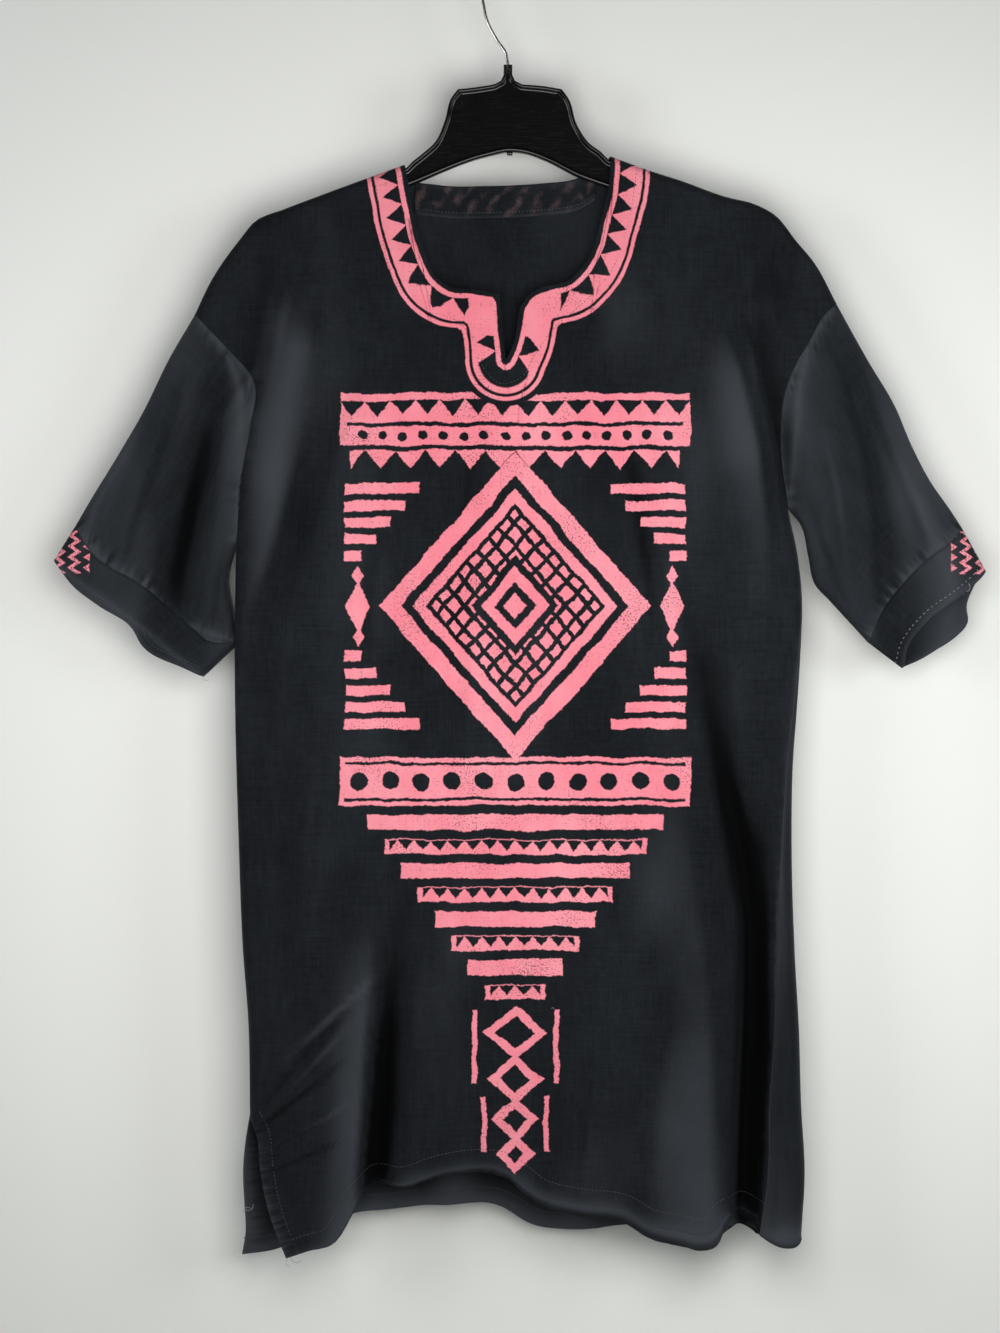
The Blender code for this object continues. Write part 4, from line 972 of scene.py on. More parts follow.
back_grid, back_places = back_panel_grid()
back_wear_and_painted_light = wear_and_painted_shade(
    back_places, [back_neck_line, hem_back_line, vent_back_line, seam_right], 5.0, BACK_FOLDS, BACK_CREASES,
    vent_gathers(back_places, vent_back_line, BACK_VENT_SEED),
)
# Painted light: the whole back a little lighter, and its hem and vent much lighter, where the front's shadow
# falls on them.
back_wear_and_painted_light += 0.2 + 0.9 * np.exp(-np.min([
    distance(back_places, line) for line in (hem_back_line, vent_back_line)
], axis=0) / 14)
back_cloth = cloth_sheet("back_cloth", back_grid, unrolled(back_grid), back_wear_and_painted_light, reverse=False)
black_cotton = cotton("black_cotton")
back_cloth.data.materials.append(black_cotton)
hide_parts("back_panel")
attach(back_cloth, "root")

# Sleeves: one short wide tube each, set on the dropped armhole, with its seam under the arm.
# They hang flat from the shoulder's fold, with two or three soft folds towards the cuff.
SLEEVE_ROUND = 8
SLEEVE_EASE = 0.4  # share of a sleeve in which it eases from the armhole to its own form
SLEEVE_SWELL = 9

# Edges of the sleeves and cuffs, from the armhole out, and their folds
SLEEVE_TOP_LEFT = [
    Spot(-263, 291), Spot(-284, 327), Spot(-307, 374), Spot(-331, 415), Spot(-349, 444),
    Spot(-363, 468),
]
SLEEVE_UNDER_LEFT = [Spot(-227, 485), Spot(-234, 510), Spot(-230, 540), Spot(-225, 566)]
CUFF_SEAM_FRONT_LEFT = [
    Spot(-363, 468), Spot(-349, 491), Spot(-303, 521), Spot(-283, 539), Spot(-262, 556),
    Spot(-251, 565), Spot(-225, 566),
]
CUFF_SEAM_BACK_LEFT = [
    Spot(-363, 468), Spot(-345, 492), Spot(-302, 523), Spot(-264, 553), Spot(-225, 566),
]
CUFF_EDGE_FRONT_LEFT = [
    Spot(-381, 497), Spot(-375, 505), Spot(-365, 518), Spot(-342, 536), Spot(-315, 554), Spot(-307, 569),
    Spot(-271, 588), Spot(-256, 595),
]
CUFF_EDGE_BACK_LEFT = [
    Spot(-381, 497), Spot(-362, 514), Spot(-334, 534), Spot(-300, 560), Spot(-270, 584),
    Spot(-256, 595),
]
SLEEVE_TOP_RIGHT = [
    Spot(276, 282), Spot(302, 329), Spot(325, 368), Spot(339, 401), Spot(354, 430), Spot(372, 456),
    Spot(381, 470),
]
SLEEVE_UNDER_RIGHT = [
    Spot(235, 454), Spot(246, 468), Spot(252, 493), Spot(258, 518), Spot(269, 530), Spot(302, 566),
]
CUFF_SEAM_FRONT_RIGHT = [
    Spot(381, 470), Spot(371, 482), Spot(353, 495), Spot(336, 511), Spot(324, 525), Spot(312, 544),
    Spot(302, 566),
]
CUFF_SEAM_BACK_RIGHT = [
    Spot(381, 470), Spot(369, 487), Spot(351, 500), Spot(332, 520), Spot(302, 566),
]
CUFF_EDGE_FRONT_RIGHT = [
    Spot(401, 506), Spot(394, 514), Spot(380, 526), Spot(350, 549), Spot(334, 571), Spot(331, 588),
]
CUFF_EDGE_BACK_RIGHT = [
    Spot(401, 506), Spot(392, 521), Spot(387, 535), Spot(388, 549), Spot(376, 563), Spot(362, 572),
    Spot(349, 580), Spot(331, 588),
]
LEFT_SLEEVE_FOLDS = [
    Trough(20, 22, [
        Bend(-232, 300, 0), Bend(-246, 345, 7), Bend(-262, 419, 10), Bend(-274, 462, 10),
        Bend(-287, 510, 9), Bend(-306, 570, 5),
    ]),
    Trough(12, 12, [Bend(-296, 340, 0), Bend(-318, 400, -3), Bend(-350, 470, -3), Bend(-366, 510, 0)]),
]
ARMHOLE_RIGHT_FOLD = FRONT_FOLDS[5]
RIGHT_SLEEVE_FOLDS = [
    ARMHOLE_RIGHT_FOLD,
    Trough(14, 20, [
        Bend(272, 300, 0), Bend(291, 360, 6), Bend(303, 404, 8), Bend(313, 462, 8), Bend(316, 560, 5),
    ]),
    Trough(16, 12, [Bend(318, 400, 0), Bend(346, 450, -3), Bend(372, 500, -2)]),
]
SLEEVE_ROWS = spread(52, 0.5, 0.5)
SLEEVE_CREASES = [
    Trough(6, 7, [Bend(-268, 330, 0), Bend(-290, 400, 1.4), Bend(-314, 470, 1.2), Bend(-326, 520, 0)]),
    Trough(5, 6, [Bend(-250, 400, 0), Bend(-262, 470, -1.3), Bend(-276, 550, 0)]),
    Trough(7, 5, [Bend(-314, 400, 0), Bend(-338, 450, 1.5), Bend(-356, 500, 0)]),
    Trough(5, 5, [Bend(-236, 480, 0), Bend(-244, 520, 1.2), Bend(-248, 570, 0)]),
    Trough(6, 7, [Bend(288, 320, 0), Bend(312, 390, 1.5), Bend(340, 460, 1.2), Bend(352, 500, 0)]),
    Trough(5, 6, [Bend(262, 380, 0), Bend(276, 440, -1.4), Bend(286, 520, 0)]),
    Trough(6, 6, [Bend(330, 420, 0), Bend(350, 470, -1.4), Bend(372, 520, 0)]),
    Trough(5, 5, [Bend(250, 440, 0), Bend(266, 490, 1.3), Bend(286, 540, 0)]),
]
# Painted shade: a trough that only darkens the left sleeve's colour where shade falls, with no depth in its
# form.
LEFT_SHADE = Trough(24, 26, [
    Bend(-232, 330, 0), Bend(-248, 400, 9), Bend(-260, 470, 12), Bend(-274, 530, 11), Bend(-290, 585, 4),
])
CUFF_ROWS = np.linspace(0, 1, 15)
CUFF_TURN = 0.35
CUFF_STITCH = 6.5
UNDERARM_SEAM = smooth([
    Spot(-231, 537), Spot(-247, 554), Spot(-254, 566), Spot(-262, 585), Spot(-266, 596),
])


def ring_of(front, back):
    """Front and back layers joined as closed rings of points, the first again at the end."""
    front[:, [0, -1], 1] = (front[:, [0, -1], 1] + back[:, [0, -1], 1]) / 2
    return np.concatenate([front, back[:, -2:0:-1], front[:, :1]], axis=1)


class Sleeve:
    """One sleeve's lines and folds, and the depth of its two layers."""

    def __init__(self, armholes, top, under, seams, edges, folds, under_middle, seed):
        self.top = np.vstack([smooth(top), points(edges[0][:1])])
        self.under = np.vstack([smooth(under), points(edges[0][-1:])])
        self.top_line, self.under_line = smooth(top), smooth(under)
        self.armholes = [smooth(line, 6) for line in armholes]
        self.seams = [smooth(line, 6) for line in seams]
        self.edges = [smooth(line, 6) for line in edges]
        self.folds, self.under_middle, self.seed = folds, under_middle, seed
        self.way = 1 if self.top[-1, 0] < 0 else -1

    def depth(self, places, side, seam, armhole=None):
        """Depth of the front layer, side -1, or the back layer, side 1."""
        flat = crumple(places, self.seed + side) * 0.8 + side * SLEEVE_SWELL
        if side < 0:
            flat += fold_depth(places, self.folds + SLEEVE_CREASES)
        flat -= side * seam_dip(places, seam, 0.5)
        flat += pucker(places, seam, self.seed + 9, 1.5, 11, 4.5)
        if armhole is not None:
            flat += pucker(places, armhole, self.seed + 3, 0.7, 9)
        if side < 0 and self.way > 0:
            flat += seam_dip(places, UNDERARM_SEAM, 0.9, 1.5)
        share = rounded(places, self.top, SLEEVE_ROUND) * rounded(places, self.under, SLEEVE_ROUND)
        return flat * share + self.under_middle * np.linspace(0, 1, places.shape[1]) ** 3 * (1 - share)

    def grids(self, panels):
        """The sleeve's and the cuff's rings, from the depth of each panel at the armhole."""
        tubes, cuffs = [], []
        for k, side in enumerate((-1, 1)):
            start, end = along(self.armholes[k], ARMHOLE_ROWS), along(self.seams[k], ARMHOLE_ROWS)
            rows = [along(line, SLEEVE_ROWS) for line in (self.top_line, self.under_line)]
            places = patch(start, end, *rows, ARMHOLE_ROWS, SLEEVE_ROWS)
            depth = self.depth(places, side, self.seams[k], self.armholes[k])
            change = panels[k](start[None])[0] - depth[0]
            ease = np.clip(1 - SLEEVE_ROWS / SLEEVE_EASE, 0, 1)[:, None] ** 2
            depth = depth + change * ease
            tubes.append(with_depth(places, depth))
            rim = along(self.edges[k], ARMHOLE_ROWS)
            band = end[None] + CUFF_ROWS[:, None, None] * (rim - end)[None]
            jump = depth[-1] - self.depth(end[None], side, self.seams[k])[0]
            band_depth = self.depth(band, side, self.seams[k]) + jump
            turn = CUFF_TURN * np.clip(CUFF_ROWS / 0.12, 0, 1)[:, None]
            groove = beside(self.edges[k], -self.way * CUFF_STITCH)
            band_depth += side * turn - side * seam_dip(band, groove, 0.3, 1.2)
            cuffs.append(with_depth(band, band_depth))
        return ring_of(*tubes), ring_of(*cuffs)


def zigzags(tree, place):
    """Where a cuff's corner is printed: generic zigzag lines, paler where the ink is thin."""
    x, d = hand_cut(tree, node(tree, "ShaderNodeUVMap", uv_map="border").outputs[0], 1.4)
    side = calc(tree, "ABSOLUTE", x)
    masks = []
    for middle, down in ((366, 491), (386, 491)):
        wave = calc(tree, "MULTIPLY", calc(tree, "PINGPONG", d, 4.5), 1.5)
        lines = calc(tree, "PINGPONG", calc(tree, "ADD", calc(tree, "SUBTRACT", side, middle), wave), 6.5)
        inked = calc(tree, "SUBTRACT", lines, 2.4)
        masks.append(calc(tree, "MAXIMUM", inked, bar(tree, side, d, middle, down, 32, 36)))
    sign = calc(tree, "GREATER_THAN", x, 0.0)
    inputs = {"Factor": sign, 2: masks[0], 3: masks[1]}
    chosen = node(tree, "ShaderNodeMix", inputs, data_type="FLOAT").outputs[0]
    spots = fade(tree, grain(tree, place, 500, 3), 0.5, 0.62, 1.0, 0.3)
    return calc(tree, "MULTIPLY", fade(tree, chosen, -0.5, 0.5, 1.0, 0.0), spots)


left_sleeve = Sleeve(
    (ARMHOLE_FRONT_LEFT, ARMHOLE_BACK_LEFT), SLEEVE_TOP_LEFT, SLEEVE_UNDER_LEFT,
    (CUFF_SEAM_FRONT_LEFT, CUFF_SEAM_BACK_LEFT), (CUFF_EDGE_FRONT_LEFT, CUFF_EDGE_BACK_LEFT),
    LEFT_SLEEVE_FOLDS, 4, 11.0,
)
right_sleeve = Sleeve(
    (ARMHOLE_FRONT_RIGHT, ARMHOLE_BACK_RIGHT), SLEEVE_TOP_RIGHT, SLEEVE_UNDER_RIGHT,
    (CUFF_SEAM_FRONT_RIGHT, CUFF_SEAM_BACK_RIGHT), (CUFF_EDGE_FRONT_RIGHT, CUFF_EDGE_BACK_RIGHT),
    RIGHT_SLEEVE_FOLDS, 0, 17.0,
)
cuff_cotton = cotton("cuff_cotton", zigzags)
for side_name, tube, reverse in (("left", left_sleeve, True), ("right", right_sleeve, False)):
    tube_grid, cuff_grid = tube.grids((front_outside, back_outside))
    flat = tube_grid[..., [0, 2]]
    # The ripples here only set painted light and shade in the colour, and the 0.5 added to the sleeve's and
    # cuff's values paints them lighter all over: painted light, as where light falls on the sleeves.
    ripple_shading = sum(pucker(flat, line, 5.1, 1.4, 10, 4.5) for line in (*tube.seams, tube.armholes[0]))
    ripple_shading += 0.5 * crumple(flat, tube.seed)
    worn_and_shaded = wear_and_painted_shade(
        flat, [*tube.armholes, *tube.seams, tube.top_line], 4.0, [*tube.folds, LEFT_SHADE], SLEEVE_CREASES,
        ripple_shading,
    )
    sleeve_cloth = cloth_sheet(
        f"{side_name}_sleeve_cloth", tube_grid, unrolled(tube_grid), 0.5 + worn_and_shaded, reverse, closed=True,
    )
    sleeve_cloth.data.materials.append(black_cotton)
    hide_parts(f"{side_name}_sleeve")
    flat = cuff_grid[..., [0, 2]]
    cuff_cloth = cloth_sheet(
        f"{side_name}_cuff_cloth", cuff_grid, unrolled(cuff_grid),
        0.5 + wear_and_painted_shade(flat, tube.edges, 3.0, tube.folds, SLEEVE_CREASES, 0.8 * crumple(flat, tube.seed)),
        reverse, closed=True, border=flat,
    )
    cuff_cloth.data.materials.append(cuff_cotton)
    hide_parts(f"{side_name}_cuff_band")
    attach(sleeve_cloth, "root")
    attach(cuff_cloth, "root")

# Back neck facing: a band cut from the same printed cloth and sewn inside the back neck, wrong side out.
# Ink from the other side shows through as faint pinkish marks, and a line of stitches holds its lower edge.
FACING_GAP = 0.6
FACING_DEPTH = 27
FACING_SEAM = -15.0
BLEED_PINKS = ((0.072, 0.046, 0.052, 1), (0.110, 0.066, 0.073, 1))


def bleed_marks(tree, place):
    """Faint slanting bars where ink has come through."""
    x, d = hand_cut(tree, place, 6.0)
    slant = calc(tree, "ADD", x, calc(tree, "MULTIPLY", d, 0.7))
    marks = fade(tree, calc(tree, "PINGPONG", slant, 8.5), 2.0, 8.0)
    cloudy = fade(tree, grain(tree, place, 75, 4), 0.42, 0.66, 0.0, 0.8)
    specks = fade(tree, grain(tree, place, 900, 3), 0.35, 0.6, 0.45, 1.0)
    return calc(tree, "MULTIPLY", calc(tree, "MULTIPLY", marks, cloudy), specks)


def facing_outside(places):
    """Depth of the facing's visible side, just in front of the back panel."""
    seam = np.array([[FACING_SEAM, 0.0], [FACING_SEAM, -400.0]])
    return back_surface(places) - SHELL - FACING_GAP - SHELL + seam_dip(places, seam, 0.5, 1.0)


facing_edge = along(back_neck_line, np.linspace(0.08, 0.92, 90))
facing_drop = np.stack([np.zeros(13), -np.linspace(0.6, FACING_DEPTH, 13)], axis=-1)
facing_places = facing_edge[None] + facing_drop[:, None]
facing_cloth = cloth_sheet(
    "facing_cloth", with_depth(facing_places, facing_outside(facing_places)), facing_places,
    wear_and_painted_shade(facing_places, [back_neck_line, facing_places[-1]], 3.0), reverse=True,
)
facing_cloth.data.materials.append(cotton("facing_cotton", bleed_marks, BLEED_PINKS))
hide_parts("back_neck_facing")
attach(facing_cloth, "root")

# Stitching: one strand of cotton thread, sewn in short even stitches along hems, vents, cuffs and neck.
# It is black, but for the right cuff's pale thread, and it ends here and there in a loose tail.
STITCH_PITCH = 3.1
STITCH_LENGTH = 2.3
STITCH_WIDTH = 0.26
THREAD_LIFT = 0.12  # from the cloth to a stitch's middle
Tail = namedtuple("Tail", "across down depth turn length")
TAILS = [
    Tail(381, 526, -9.5, 2.0, 13), Tail(383, 524, -10.0, 0.6, 9), Tail(-181, 1078, -19.5, -1.0, 12),
    Tail(-183, 1079, -19.5, -2.2, 8), Tail(-221, 1041, -5.0, -0.3, 11), Tail(-216, 1040, -5.5, 3.0, 9),
    Tail(-256, 594, -3.0, -1.4, 8),
]
LINT = [Tail(149, 963, -28.0, 0.5, 3.2), Tail(38, 870, -27.0, 2.2, 2.6), Tail(-60, 700, -23.0, 1.2, 2.0)]


def thread_material(name, colour, dark):
    """Twisted thread, with fine slanting plies."""
    material, tree, shader = new_material(name)
    place = node(tree, "ShaderNodeTexCoord").outputs["Object"]
    plies = grain(tree, place, 1400.0, 2)
    tree.links.new(mixed(tree, fade(tree, plies, 0.35, 0.65), dark, colour), shader.inputs["Base Color"])
    bumpy(tree, shader, plies, 0.3, 0.0002)
    shader.inputs["Roughness"].default_value = 0.6
    shader.inputs["Sheen Weight"].default_value = 0.1
    return material


black_thread = thread_material("black_thread", (0.070, 0.073, 0.078, 1), (0.020, 0.021, 0.024, 1))
pale_thread = thread_material("pale_thread", (0.46, 0.45, 0.43, 1), (0.20, 0.20, 0.19, 1))


def add_stitches(bm, line, pitch, stitch):
    """Stitches of one length along a line of points in space, in millimetres."""
    length = np.linalg.norm(np.diff(line, axis=0), axis=1).sum()
    count = max(int(length / pitch), 2)
    middles = along(line, (np.arange(count) + 0.5) / count)
    ends = along(line, (np.arange(count) + 0.5) / count + 0.3 / count)
    for middle, end in zip(middles, ends):
        turn = Vector(end - middle).to_track_quat("X", "Z").to_matrix().to_4x4()
        size = Matrix.Diagonal((stitch / 2, STITCH_WIDTH, STITCH_WIDTH, 1 / MM))
        place = Matrix.Translation(Vector(middle) * MM) @ turn @ (size * MM)
        bmesh.ops.create_icosphere(bm, subdivisions=1, radius=1, matrix=place)


def stitched(name, lines, material, pitch=STITCH_PITCH, stitch=STITCH_LENGTH):
    """One joined piece of stitches along several lines."""
    bm = bmesh.new()
    for line in lines:
        add_stitches(bm, line, pitch, stitch)
    for face in bm.faces:
        face.smooth = True
    piece = piece_from(name, bm)
    piece.data.materials.append(material)
    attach(piece, "root")
    return piece


def on_front(line):
    """A line of the front view laid on the front."""
    return with_depth(line, front_outside(line[None])[0] - THREAD_LIFT)


def on_back(line):
    """A line of the front view laid on the outside of the back."""
    return with_depth(line, back_outside(line[None])[0] + THREAD_LIFT)


def on_inside(line):
    """A line of the front view laid on the back hem's inner side, which shows under the front."""
    return with_depth(line, back_outside(line[None])[0] - SHELL - THREAD_LIFT)


def cuff_lines(tube):
    """Lines round a cuff, just inside its edge."""
    lines = []
    for edge, seam, side in zip(tube.edges, tube.seams, (-1, 1)):
        line = along(beside(edge, -tube.way * CUFF_STITCH), np.linspace(0.03, 0.97, 120))
        depth = tube.depth(line[None], side, seam)[0] + side * (CUFF_TURN + THREAD_LIFT)
        lines.append(with_depth(line, depth))
    return lines


facing_stitch = facing_places[-3]
facing_stitch = with_depth(facing_stitch, facing_outside(facing_stitch[None])[0] - THREAD_LIFT)
black_lines = [
    *[on_front(line) for line in front_stitches], on_back(back_stitch), on_inside(back_stitch),
    facing_stitch, *cuff_lines(left_sleeve),
]
stitched("black_stitches", black_lines, black_thread)
stitched("pale_stitches", cuff_lines(right_sleeve), pale_thread, 4.3, 2.2)


def round_curve(name, radius, resolution):
    """An empty curve with a round section and closed ends."""
    curve = bpy.data.curves.new(name, "CURVE")
    curve.dimensions = "3D"
    curve.bevel_depth = radius * MM
    curve.bevel_resolution = resolution
    curve.use_fill_caps = True
    return curve


def curve_mesh(curve):
    """A curve's bevelled form as a mesh."""
    thing = placed(curve.name, curve)
    mesh = bpy.data.meshes.new_from_object(thing)
    bpy.data.objects.remove(thing)
    return mesh


def loose(name, tails, radius, material):
    """Loose ends of thread as thin bevelled curves, joined in one piece."""
    curve = round_curve(name, radius, 2)
    for tail in tails:
        spline = curve.splines.new("BEZIER")
        spline.bezier_points.add(3)
        place, turn = Vector((tail.across, tail.depth, -tail.down)), tail.turn
        for knot in spline.bezier_points:
            knot.co = place * MM
            knot.handle_left_type = knot.handle_right_type = "AUTO"
            place = place + Vector((math.cos(turn), -0.12, math.sin(turn))) * tail.length / 3
            turn += 0.8
    piece = placed(name, curve_mesh(curve))
    piece.data.materials.append(material)
    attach(piece, "root")
    return piece


loose("loose_threads", TAILS, 0.17, pale_thread)
loose("lint", LINT, 0.16, pale_thread)

# Hanger: one piece of moulded black plastic with a thin web inside a rounded rim, glossy from the mould.
# The wire hook is pressed into its stem, and its two arms lie just under the tunic's shoulders.
STEM_TOP = 81.5
ARM_HEIGHT = 19
SHOULDER_CLEARANCE = 3.7
LUG_SIZE = (5.0, 6.4, 9.0)
LUG_PLACE = (1.5, 0, -152.5)
LUG_BEVEL = 1.1
PLASTIC_BLACK = (0.0032, 0.0033, 0.0036, 1)
DUST_GREY = (0.04, 0.04, 0.038, 1)
Ring = namedtuple("Ring", "inset depth")
RIM_SECTION = [
    Ring(0, 0), Ring(0, 2.6), Ring(0.25, 3.5), Ring(0.8, 4.2), Ring(1.6, 4.5), Ring(2.4, 4.4), Ring(2.9, 4.0),
    Ring(3.15, 3.3), Ring(3.3, 2.2), Ring(3.7, 1.6), Ring(4.6, 1.35),
]


def hanger_outline():
    """Outline of the hanger in the front view, clockwise from the left arm's tip."""
    left_arm = beside(along(smooth(SHOULDER_LEFT[3:]), np.linspace(0.05, 1, 40)), SHOULDER_CLEARANCE)
    right_arm = beside(along(smooth(SHOULDER_RIGHT[:6]), np.linspace(0, 0.93, 40)), SHOULDER_CLEARANCE)
    plate_left = smooth([
        Spot(-80, 162.5), Spot(-73, 157), Spot(-61, 146), Spot(-53, 128), Spot(-48, 110), Spot(-43, 103),
    ], 8)
    plate_top_left = smooth([Spot(-42, 102), Spot(-28, 100.5), Spot(-12, 98)], 4)
    stem = points([
        Spot(-6, 95), Spot(-3.7, 90), Spot(-3.7, STEM_TOP), Spot(3.7, STEM_TOP), Spot(3.7, 90), Spot(6, 95),
    ])
    plate_top_right = smooth([Spot(12, 98), Spot(30, 99.5), Spot(45, 102)], 4)
    plate_right = smooth([
        Spot(46, 103), Spot(51, 110), Spot(58, 132), Spot(68, 147), Spot(78, 154.5),
    ], 8)
    low = smooth([
        Spot(214, 205 + ARM_HEIGHT), Spot(160, 207), Spot(86, 185), Spot(58, 175), Spot(32, 162),
        Spot(13, 155.5), Spot(1, 154.5), Spot(-17, 158), Spot(-86, 184), Spot(-150, 207),
        Spot(-203, 211 + ARM_HEIGHT),
    ], 12)
    return np.vstack([
        left_arm, plate_left, plate_top_left, stem, plate_top_right, plate_right, right_arm, low,
    ])


def narrowed(outline, width):
    """A closed clockwise outline moved in by a width."""
    before = outline - np.roll(outline, 1, axis=0)
    after = np.roll(outline, -1, axis=0) - outline
    before /= np.linalg.norm(before, axis=1, keepdims=True)
    after /= np.linalg.norm(after, axis=1, keepdims=True)
    side = (before + after) / np.linalg.norm(before + after, axis=1, keepdims=True)
    return outline + width * np.stack([side[:, 1], -side[:, 0]], axis=-1)


def add_lug(bm):
    """The small moulded lug under the plate's middle."""
    made = bmesh.ops.create_cube(bm, size=1)["verts"]
    size = Matrix.Diagonal((*(side * MM for side in LUG_SIZE), 1))
    bmesh.ops.transform(bm, matrix=Matrix.Translation(Vector(LUG_PLACE) * MM) @ size, verts=made)
    edges = list({edge for vert in made for edge in vert.link_edges})
    bmesh.ops.bevel(
        bm, geom=edges, offset=LUG_BEVEL * MM, offset_type="OFFSET", segments=3, profile=0.5,
        affect="EDGES", material=-1,
    )


def hanger_moulding():
    """Rings of the rim's section on both faces, bridged, with a flat web between the innermost."""
    outline = hanger_outline()
    bm = bmesh.new()
    far_half = [Ring(ring.inset, -ring.depth) for ring in RIM_SECTION[1:]]
    section = [*reversed(RIM_SECTION), *far_half]
    loops = []
    for ring in section:
        places = narrowed(outline, ring.inset) * MM
        verts = [bm.verts.new((across, -ring.depth * MM, up)) for across, up in places]
        loops.append([bm.edges.new(pair) for pair in zip(verts, verts[1:] + verts[:1])])
    for near_loop, far_loop in zip(loops, loops[1:]):
        bmesh.ops.bridge_loops(bm, edges=near_loop + far_loop)
    for face in bm.faces:
        face.smooth = True
    for loop in (loops[0], loops[-1]):
        bmesh.ops.triangle_fill(bm, use_beauty=True, use_dissolve=False, edges=loop)
    bmesh.ops.recalc_face_normals(bm, faces=bm.faces)
    add_lug(bm)
    return piece_from("moulded_hanger", bm)


def moulded_plastic():
    """Glossy black plastic: faint flow marks, hairline scratches and a little dust."""
    material, tree, shader = new_material("moulded_plastic")
    place = node(tree, "ShaderNodeTexCoord").outputs["Object"]
    split = node(tree, "ShaderNodeSeparateXYZ", {"Vector": place})
    flow = grain(tree, place, 38.0, 2)
    scratches = streaks(tree, split.outputs["X"], split.outputs["Z"], 60, 900, 3.0)
    dust = fade(tree, grain(tree, place, 900.0, 2), 0.66, 0.76)
    colour = mixed(tree, calc(tree, "MULTIPLY", dust, 0.25), PLASTIC_BLACK, DUST_GREY)
    tree.links.new(colour, shader.inputs["Base Color"])
    scratched = fade(tree, scratches, 0.4, 0.75, 0.13, 0.26)
    rough = calc(tree, "ADD", scratched, calc(tree, "MULTIPLY", dust, 0.2))
    tree.links.new(rough, shader.inputs["Roughness"])
    height = calc(tree, "ADD", flow, calc(tree, "MULTIPLY", scratches, 0.12))
    bumpy(tree, shader, height, 0.12, 0.001)
    shader.inputs["Specular IOR Level"].default_value = 0.45
    return material


hanger = hanger_moulding()
hanger.data.materials.append(moulded_plastic())
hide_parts("hanger")
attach(hanger, "root")

# Hook: one length of drawn steel wire, bent to a loop with its end cut off, and set in the stem.
# Drawing leaves fine lines along it, and its plating is bright with a few dull spots.
WIRE_RADIUS = 1.4
HOOK_RADIUS = 21.8
WIRE_GAP = 0.3
BRIGHT_STEEL = (0.72, 0.71, 0.69, 1)
DULL_STEEL = (0.38, 0.36, 0.33, 1)


def wire_steel():
    """Bright drawn wire with dull spots."""
    material, tree, shader = new_material("wire_steel")
    place = node(tree, "ShaderNodeTexCoord").outputs["Object"]
    spots = fade(tree, grain(tree, place, 420.0, 3), 0.52, 0.72)
    tree.links.new(mixed(tree, spots, BRIGHT_STEEL, DULL_STEEL), shader.inputs["Base Color"])
    drawn = fade(tree, grain(tree, place, 2600.0, 2), 0.3, 0.7, 0.16, 0.30)
    rough = calc(tree, "ADD", drawn, calc(tree, "MULTIPLY", spots, 0.2))
    tree.links.new(rough, shader.inputs["Roughness"])
    shader.inputs["Metallic"].default_value = 1.0
    return material


def hook_mesh():
    """A round wire along the loop, the bend and the shank."""
    wire = round_curve("wire", WIRE_RADIUS, 7)
    wire.resolution_u = 1
    turn = np.radians(np.arange(-12, 193, 4))
    loop = HOOK_RADIUS * np.stack([np.cos(turn), np.sin(turn)], axis=-1) + [0, WIRE_RADIUS - HOOK_RADIUS]
    shank = smooth([
        Spot(-21, 28), Spot(-17.5, 44), Spot(-9, 60.5), Spot(-2, 71), Spot(0, STEM_TOP - WIRE_GAP),
    ], 10)
    route = np.vstack([loop, shank]) * MM
    spline = wire.splines.new("POLY")
    spline.points.add(len(route) - 1)
    for point, (across, up) in zip(spline.points, route):
        point.co = (across, 0, up, 1)
    mesh = curve_mesh(wire)
    mesh.shade_smooth()
    return mesh


hook = placed("wire_hook", hook_mesh())
hook.data.materials.append(wire_steel())
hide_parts("hook")
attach(hook, "root")

# Studio: a pale painted wall close behind the hanger, a plain floor below, and soft light from the front.
# The wall shows only from its front, so that views from behind see the back of the tunic.
WALL_DEPTH = 0.042
FLOOR_DOWN = 1.75
WALL_MIDDLE = -0.4
WALL_PAINTS = ((0.80, 0.815, 0.79, 1), (0.83, 0.84, 0.82, 1))


def wall_paint():
    """Matt pale paint with a very slight roller texture, clear from behind and to light from there."""
    material, tree, shader = new_material("wall_paint")
    place = node(tree, "ShaderNodeTexCoord").outputs["Object"]
    tone = fade(tree, grain(tree, place, 2.2, 2), 0.3, 0.7)
    tree.links.new(mixed(tree, tone, *WALL_PAINTS), shader.inputs["Base Color"])
    shader.inputs["Roughness"].default_value = 0.75
    bumpy(tree, shader, grain(tree, place, 260, 3), 0.05, 0.001)
    clear = node(tree, "ShaderNodeBsdfTransparent")
    behind = node(tree, "ShaderNodeNewGeometry").outputs["Backfacing"]
    behind = calc(tree, "MAXIMUM", behind, node(tree, "ShaderNodeLightPath").outputs["Is Shadow Ray"])
    both = node(tree, "ShaderNodeMixShader", {0: behind, 1: shader.outputs[0], 2: clear.outputs[0]})
    tree.links.new(both.outputs[0], tree.nodes["Material Output"].inputs["Surface"])
    return material


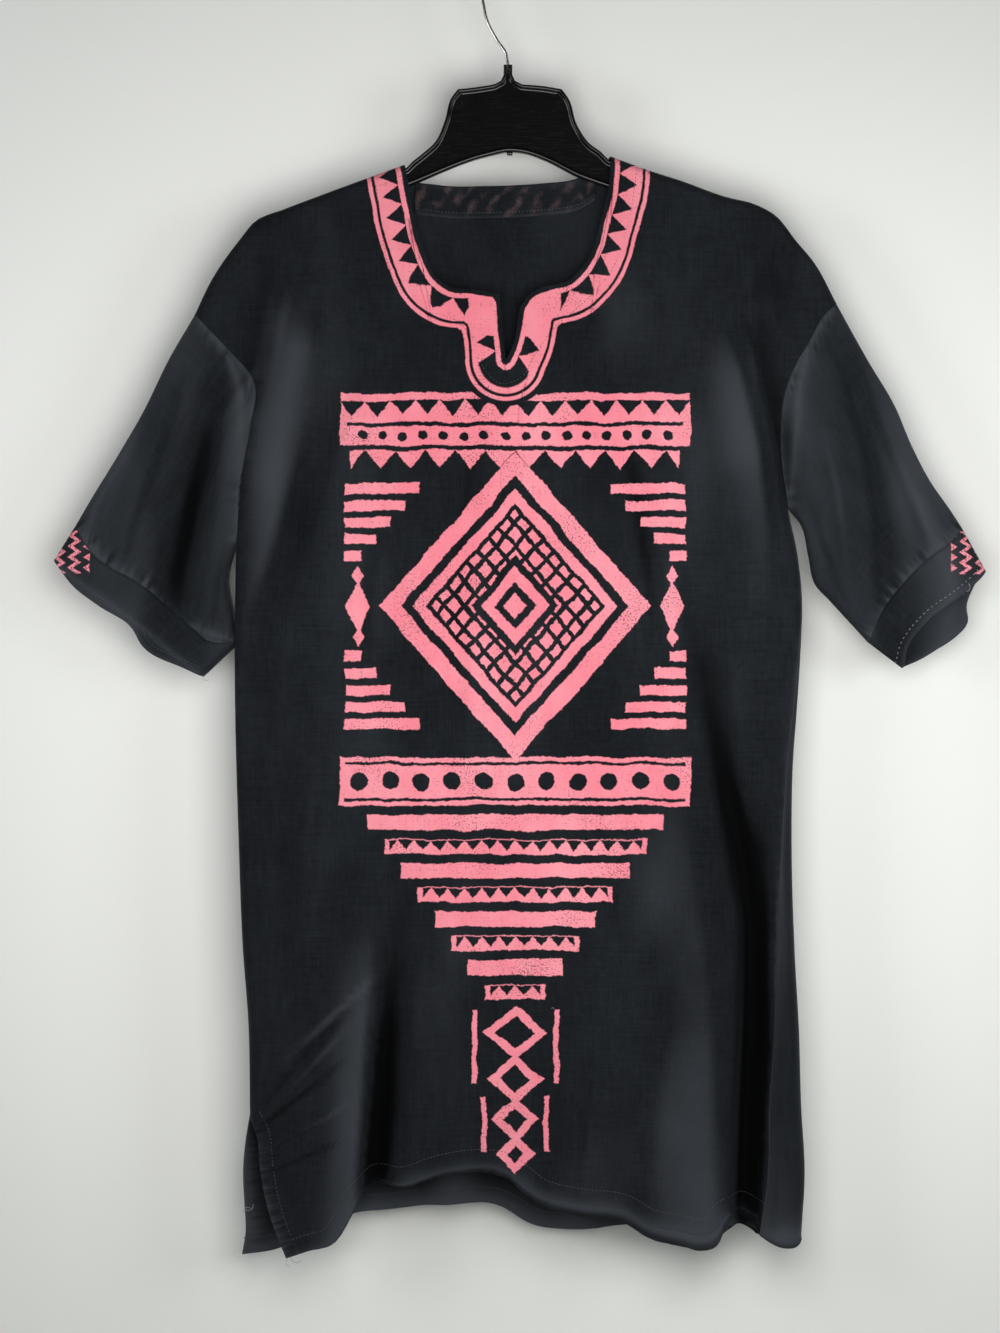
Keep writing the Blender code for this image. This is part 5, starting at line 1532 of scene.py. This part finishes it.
def board(name, width, height, matrix, material):
    """A flat board of the studio."""
    bm = bmesh.new()
    bmesh.ops.create_grid(bm, x_segments=1, y_segments=1, size=0.5)
    bmesh.ops.transform(bm, matrix=matrix @ Matrix.Diagonal((width, height, 1, 1)), verts=bm.verts)
    piece = piece_from(name, bm)
    piece.data.materials.append(material)
    return piece


paint = wall_paint()
wall_turn = Matrix.Translation((0, WALL_DEPTH, WALL_MIDDLE)) @ Matrix.Rotation(math.pi / 2, 4, "X")
board("wall", 6, 2 * (FLOOR_DOWN + WALL_MIDDLE), wall_turn, paint)
board("floor", 6, 6, Matrix.Translation((0, 0, -FLOOR_DOWN)), paint)


def soft_light(name, place, aim, size, power, colour):
    """A large soft light aimed at a place."""
    lamp = bpy.data.lights.new(name, "AREA")
    lamp.shape = "RECTANGLE"
    lamp.size, lamp.size_y = size
    lamp.energy = power
    lamp.color = colour
    thing = placed(name, lamp)
    thing.location = place
    thing.rotation_euler = (Vector(aim) - Vector(place)).to_track_quat("-Z", "Y").to_euler()
    thing.visible_camera = False
    return thing


soft_light("front", (0.1, -0.82, -0.54), (0.1, 0, -0.56), (0.7, 0.7), 7.3, (1.0, 0.99, 0.965))
soft_light("left", (-1.25, -0.85, -0.34), (0, 0, -0.55), (0.45, 0.6), 6.6, (0.985, 0.995, 1.0))
soft_light("right", (1.3, -0.85, -0.42), (0, 0, -0.6), (0.45, 0.6), 6.4, (0.97, 0.99, 1.0))
soft_light("back_light", (0.6, 2.4, 0.7), (0.0, 0, -0.6), (1.6, 1.6), 50, (1.0, 1.0, 1.0))

world = bpy.data.worlds.new("room")
world.use_nodes = True
world.node_tree.nodes["Background"].inputs["Color"].default_value = (0.90, 0.915, 0.90, 1)
world.node_tree.nodes["Background"].inputs["Strength"].default_value = 0.05
bpy.context.scene.world = world
bpy.context.scene.view_settings.view_transform = "Standard"

lens = bpy.data.cameras.new("camera")
lens.sensor_fit = "VERTICAL"
lens.sensor_height = 36
lens.lens = 64.3
lens.clip_start = 0.05
camera = placed("camera", lens)
camera.location = (-0.0067, -2.0, -0.5864)
camera.rotation_euler = (math.pi / 2, 0, 0)
bpy.context.scene.camera = camera
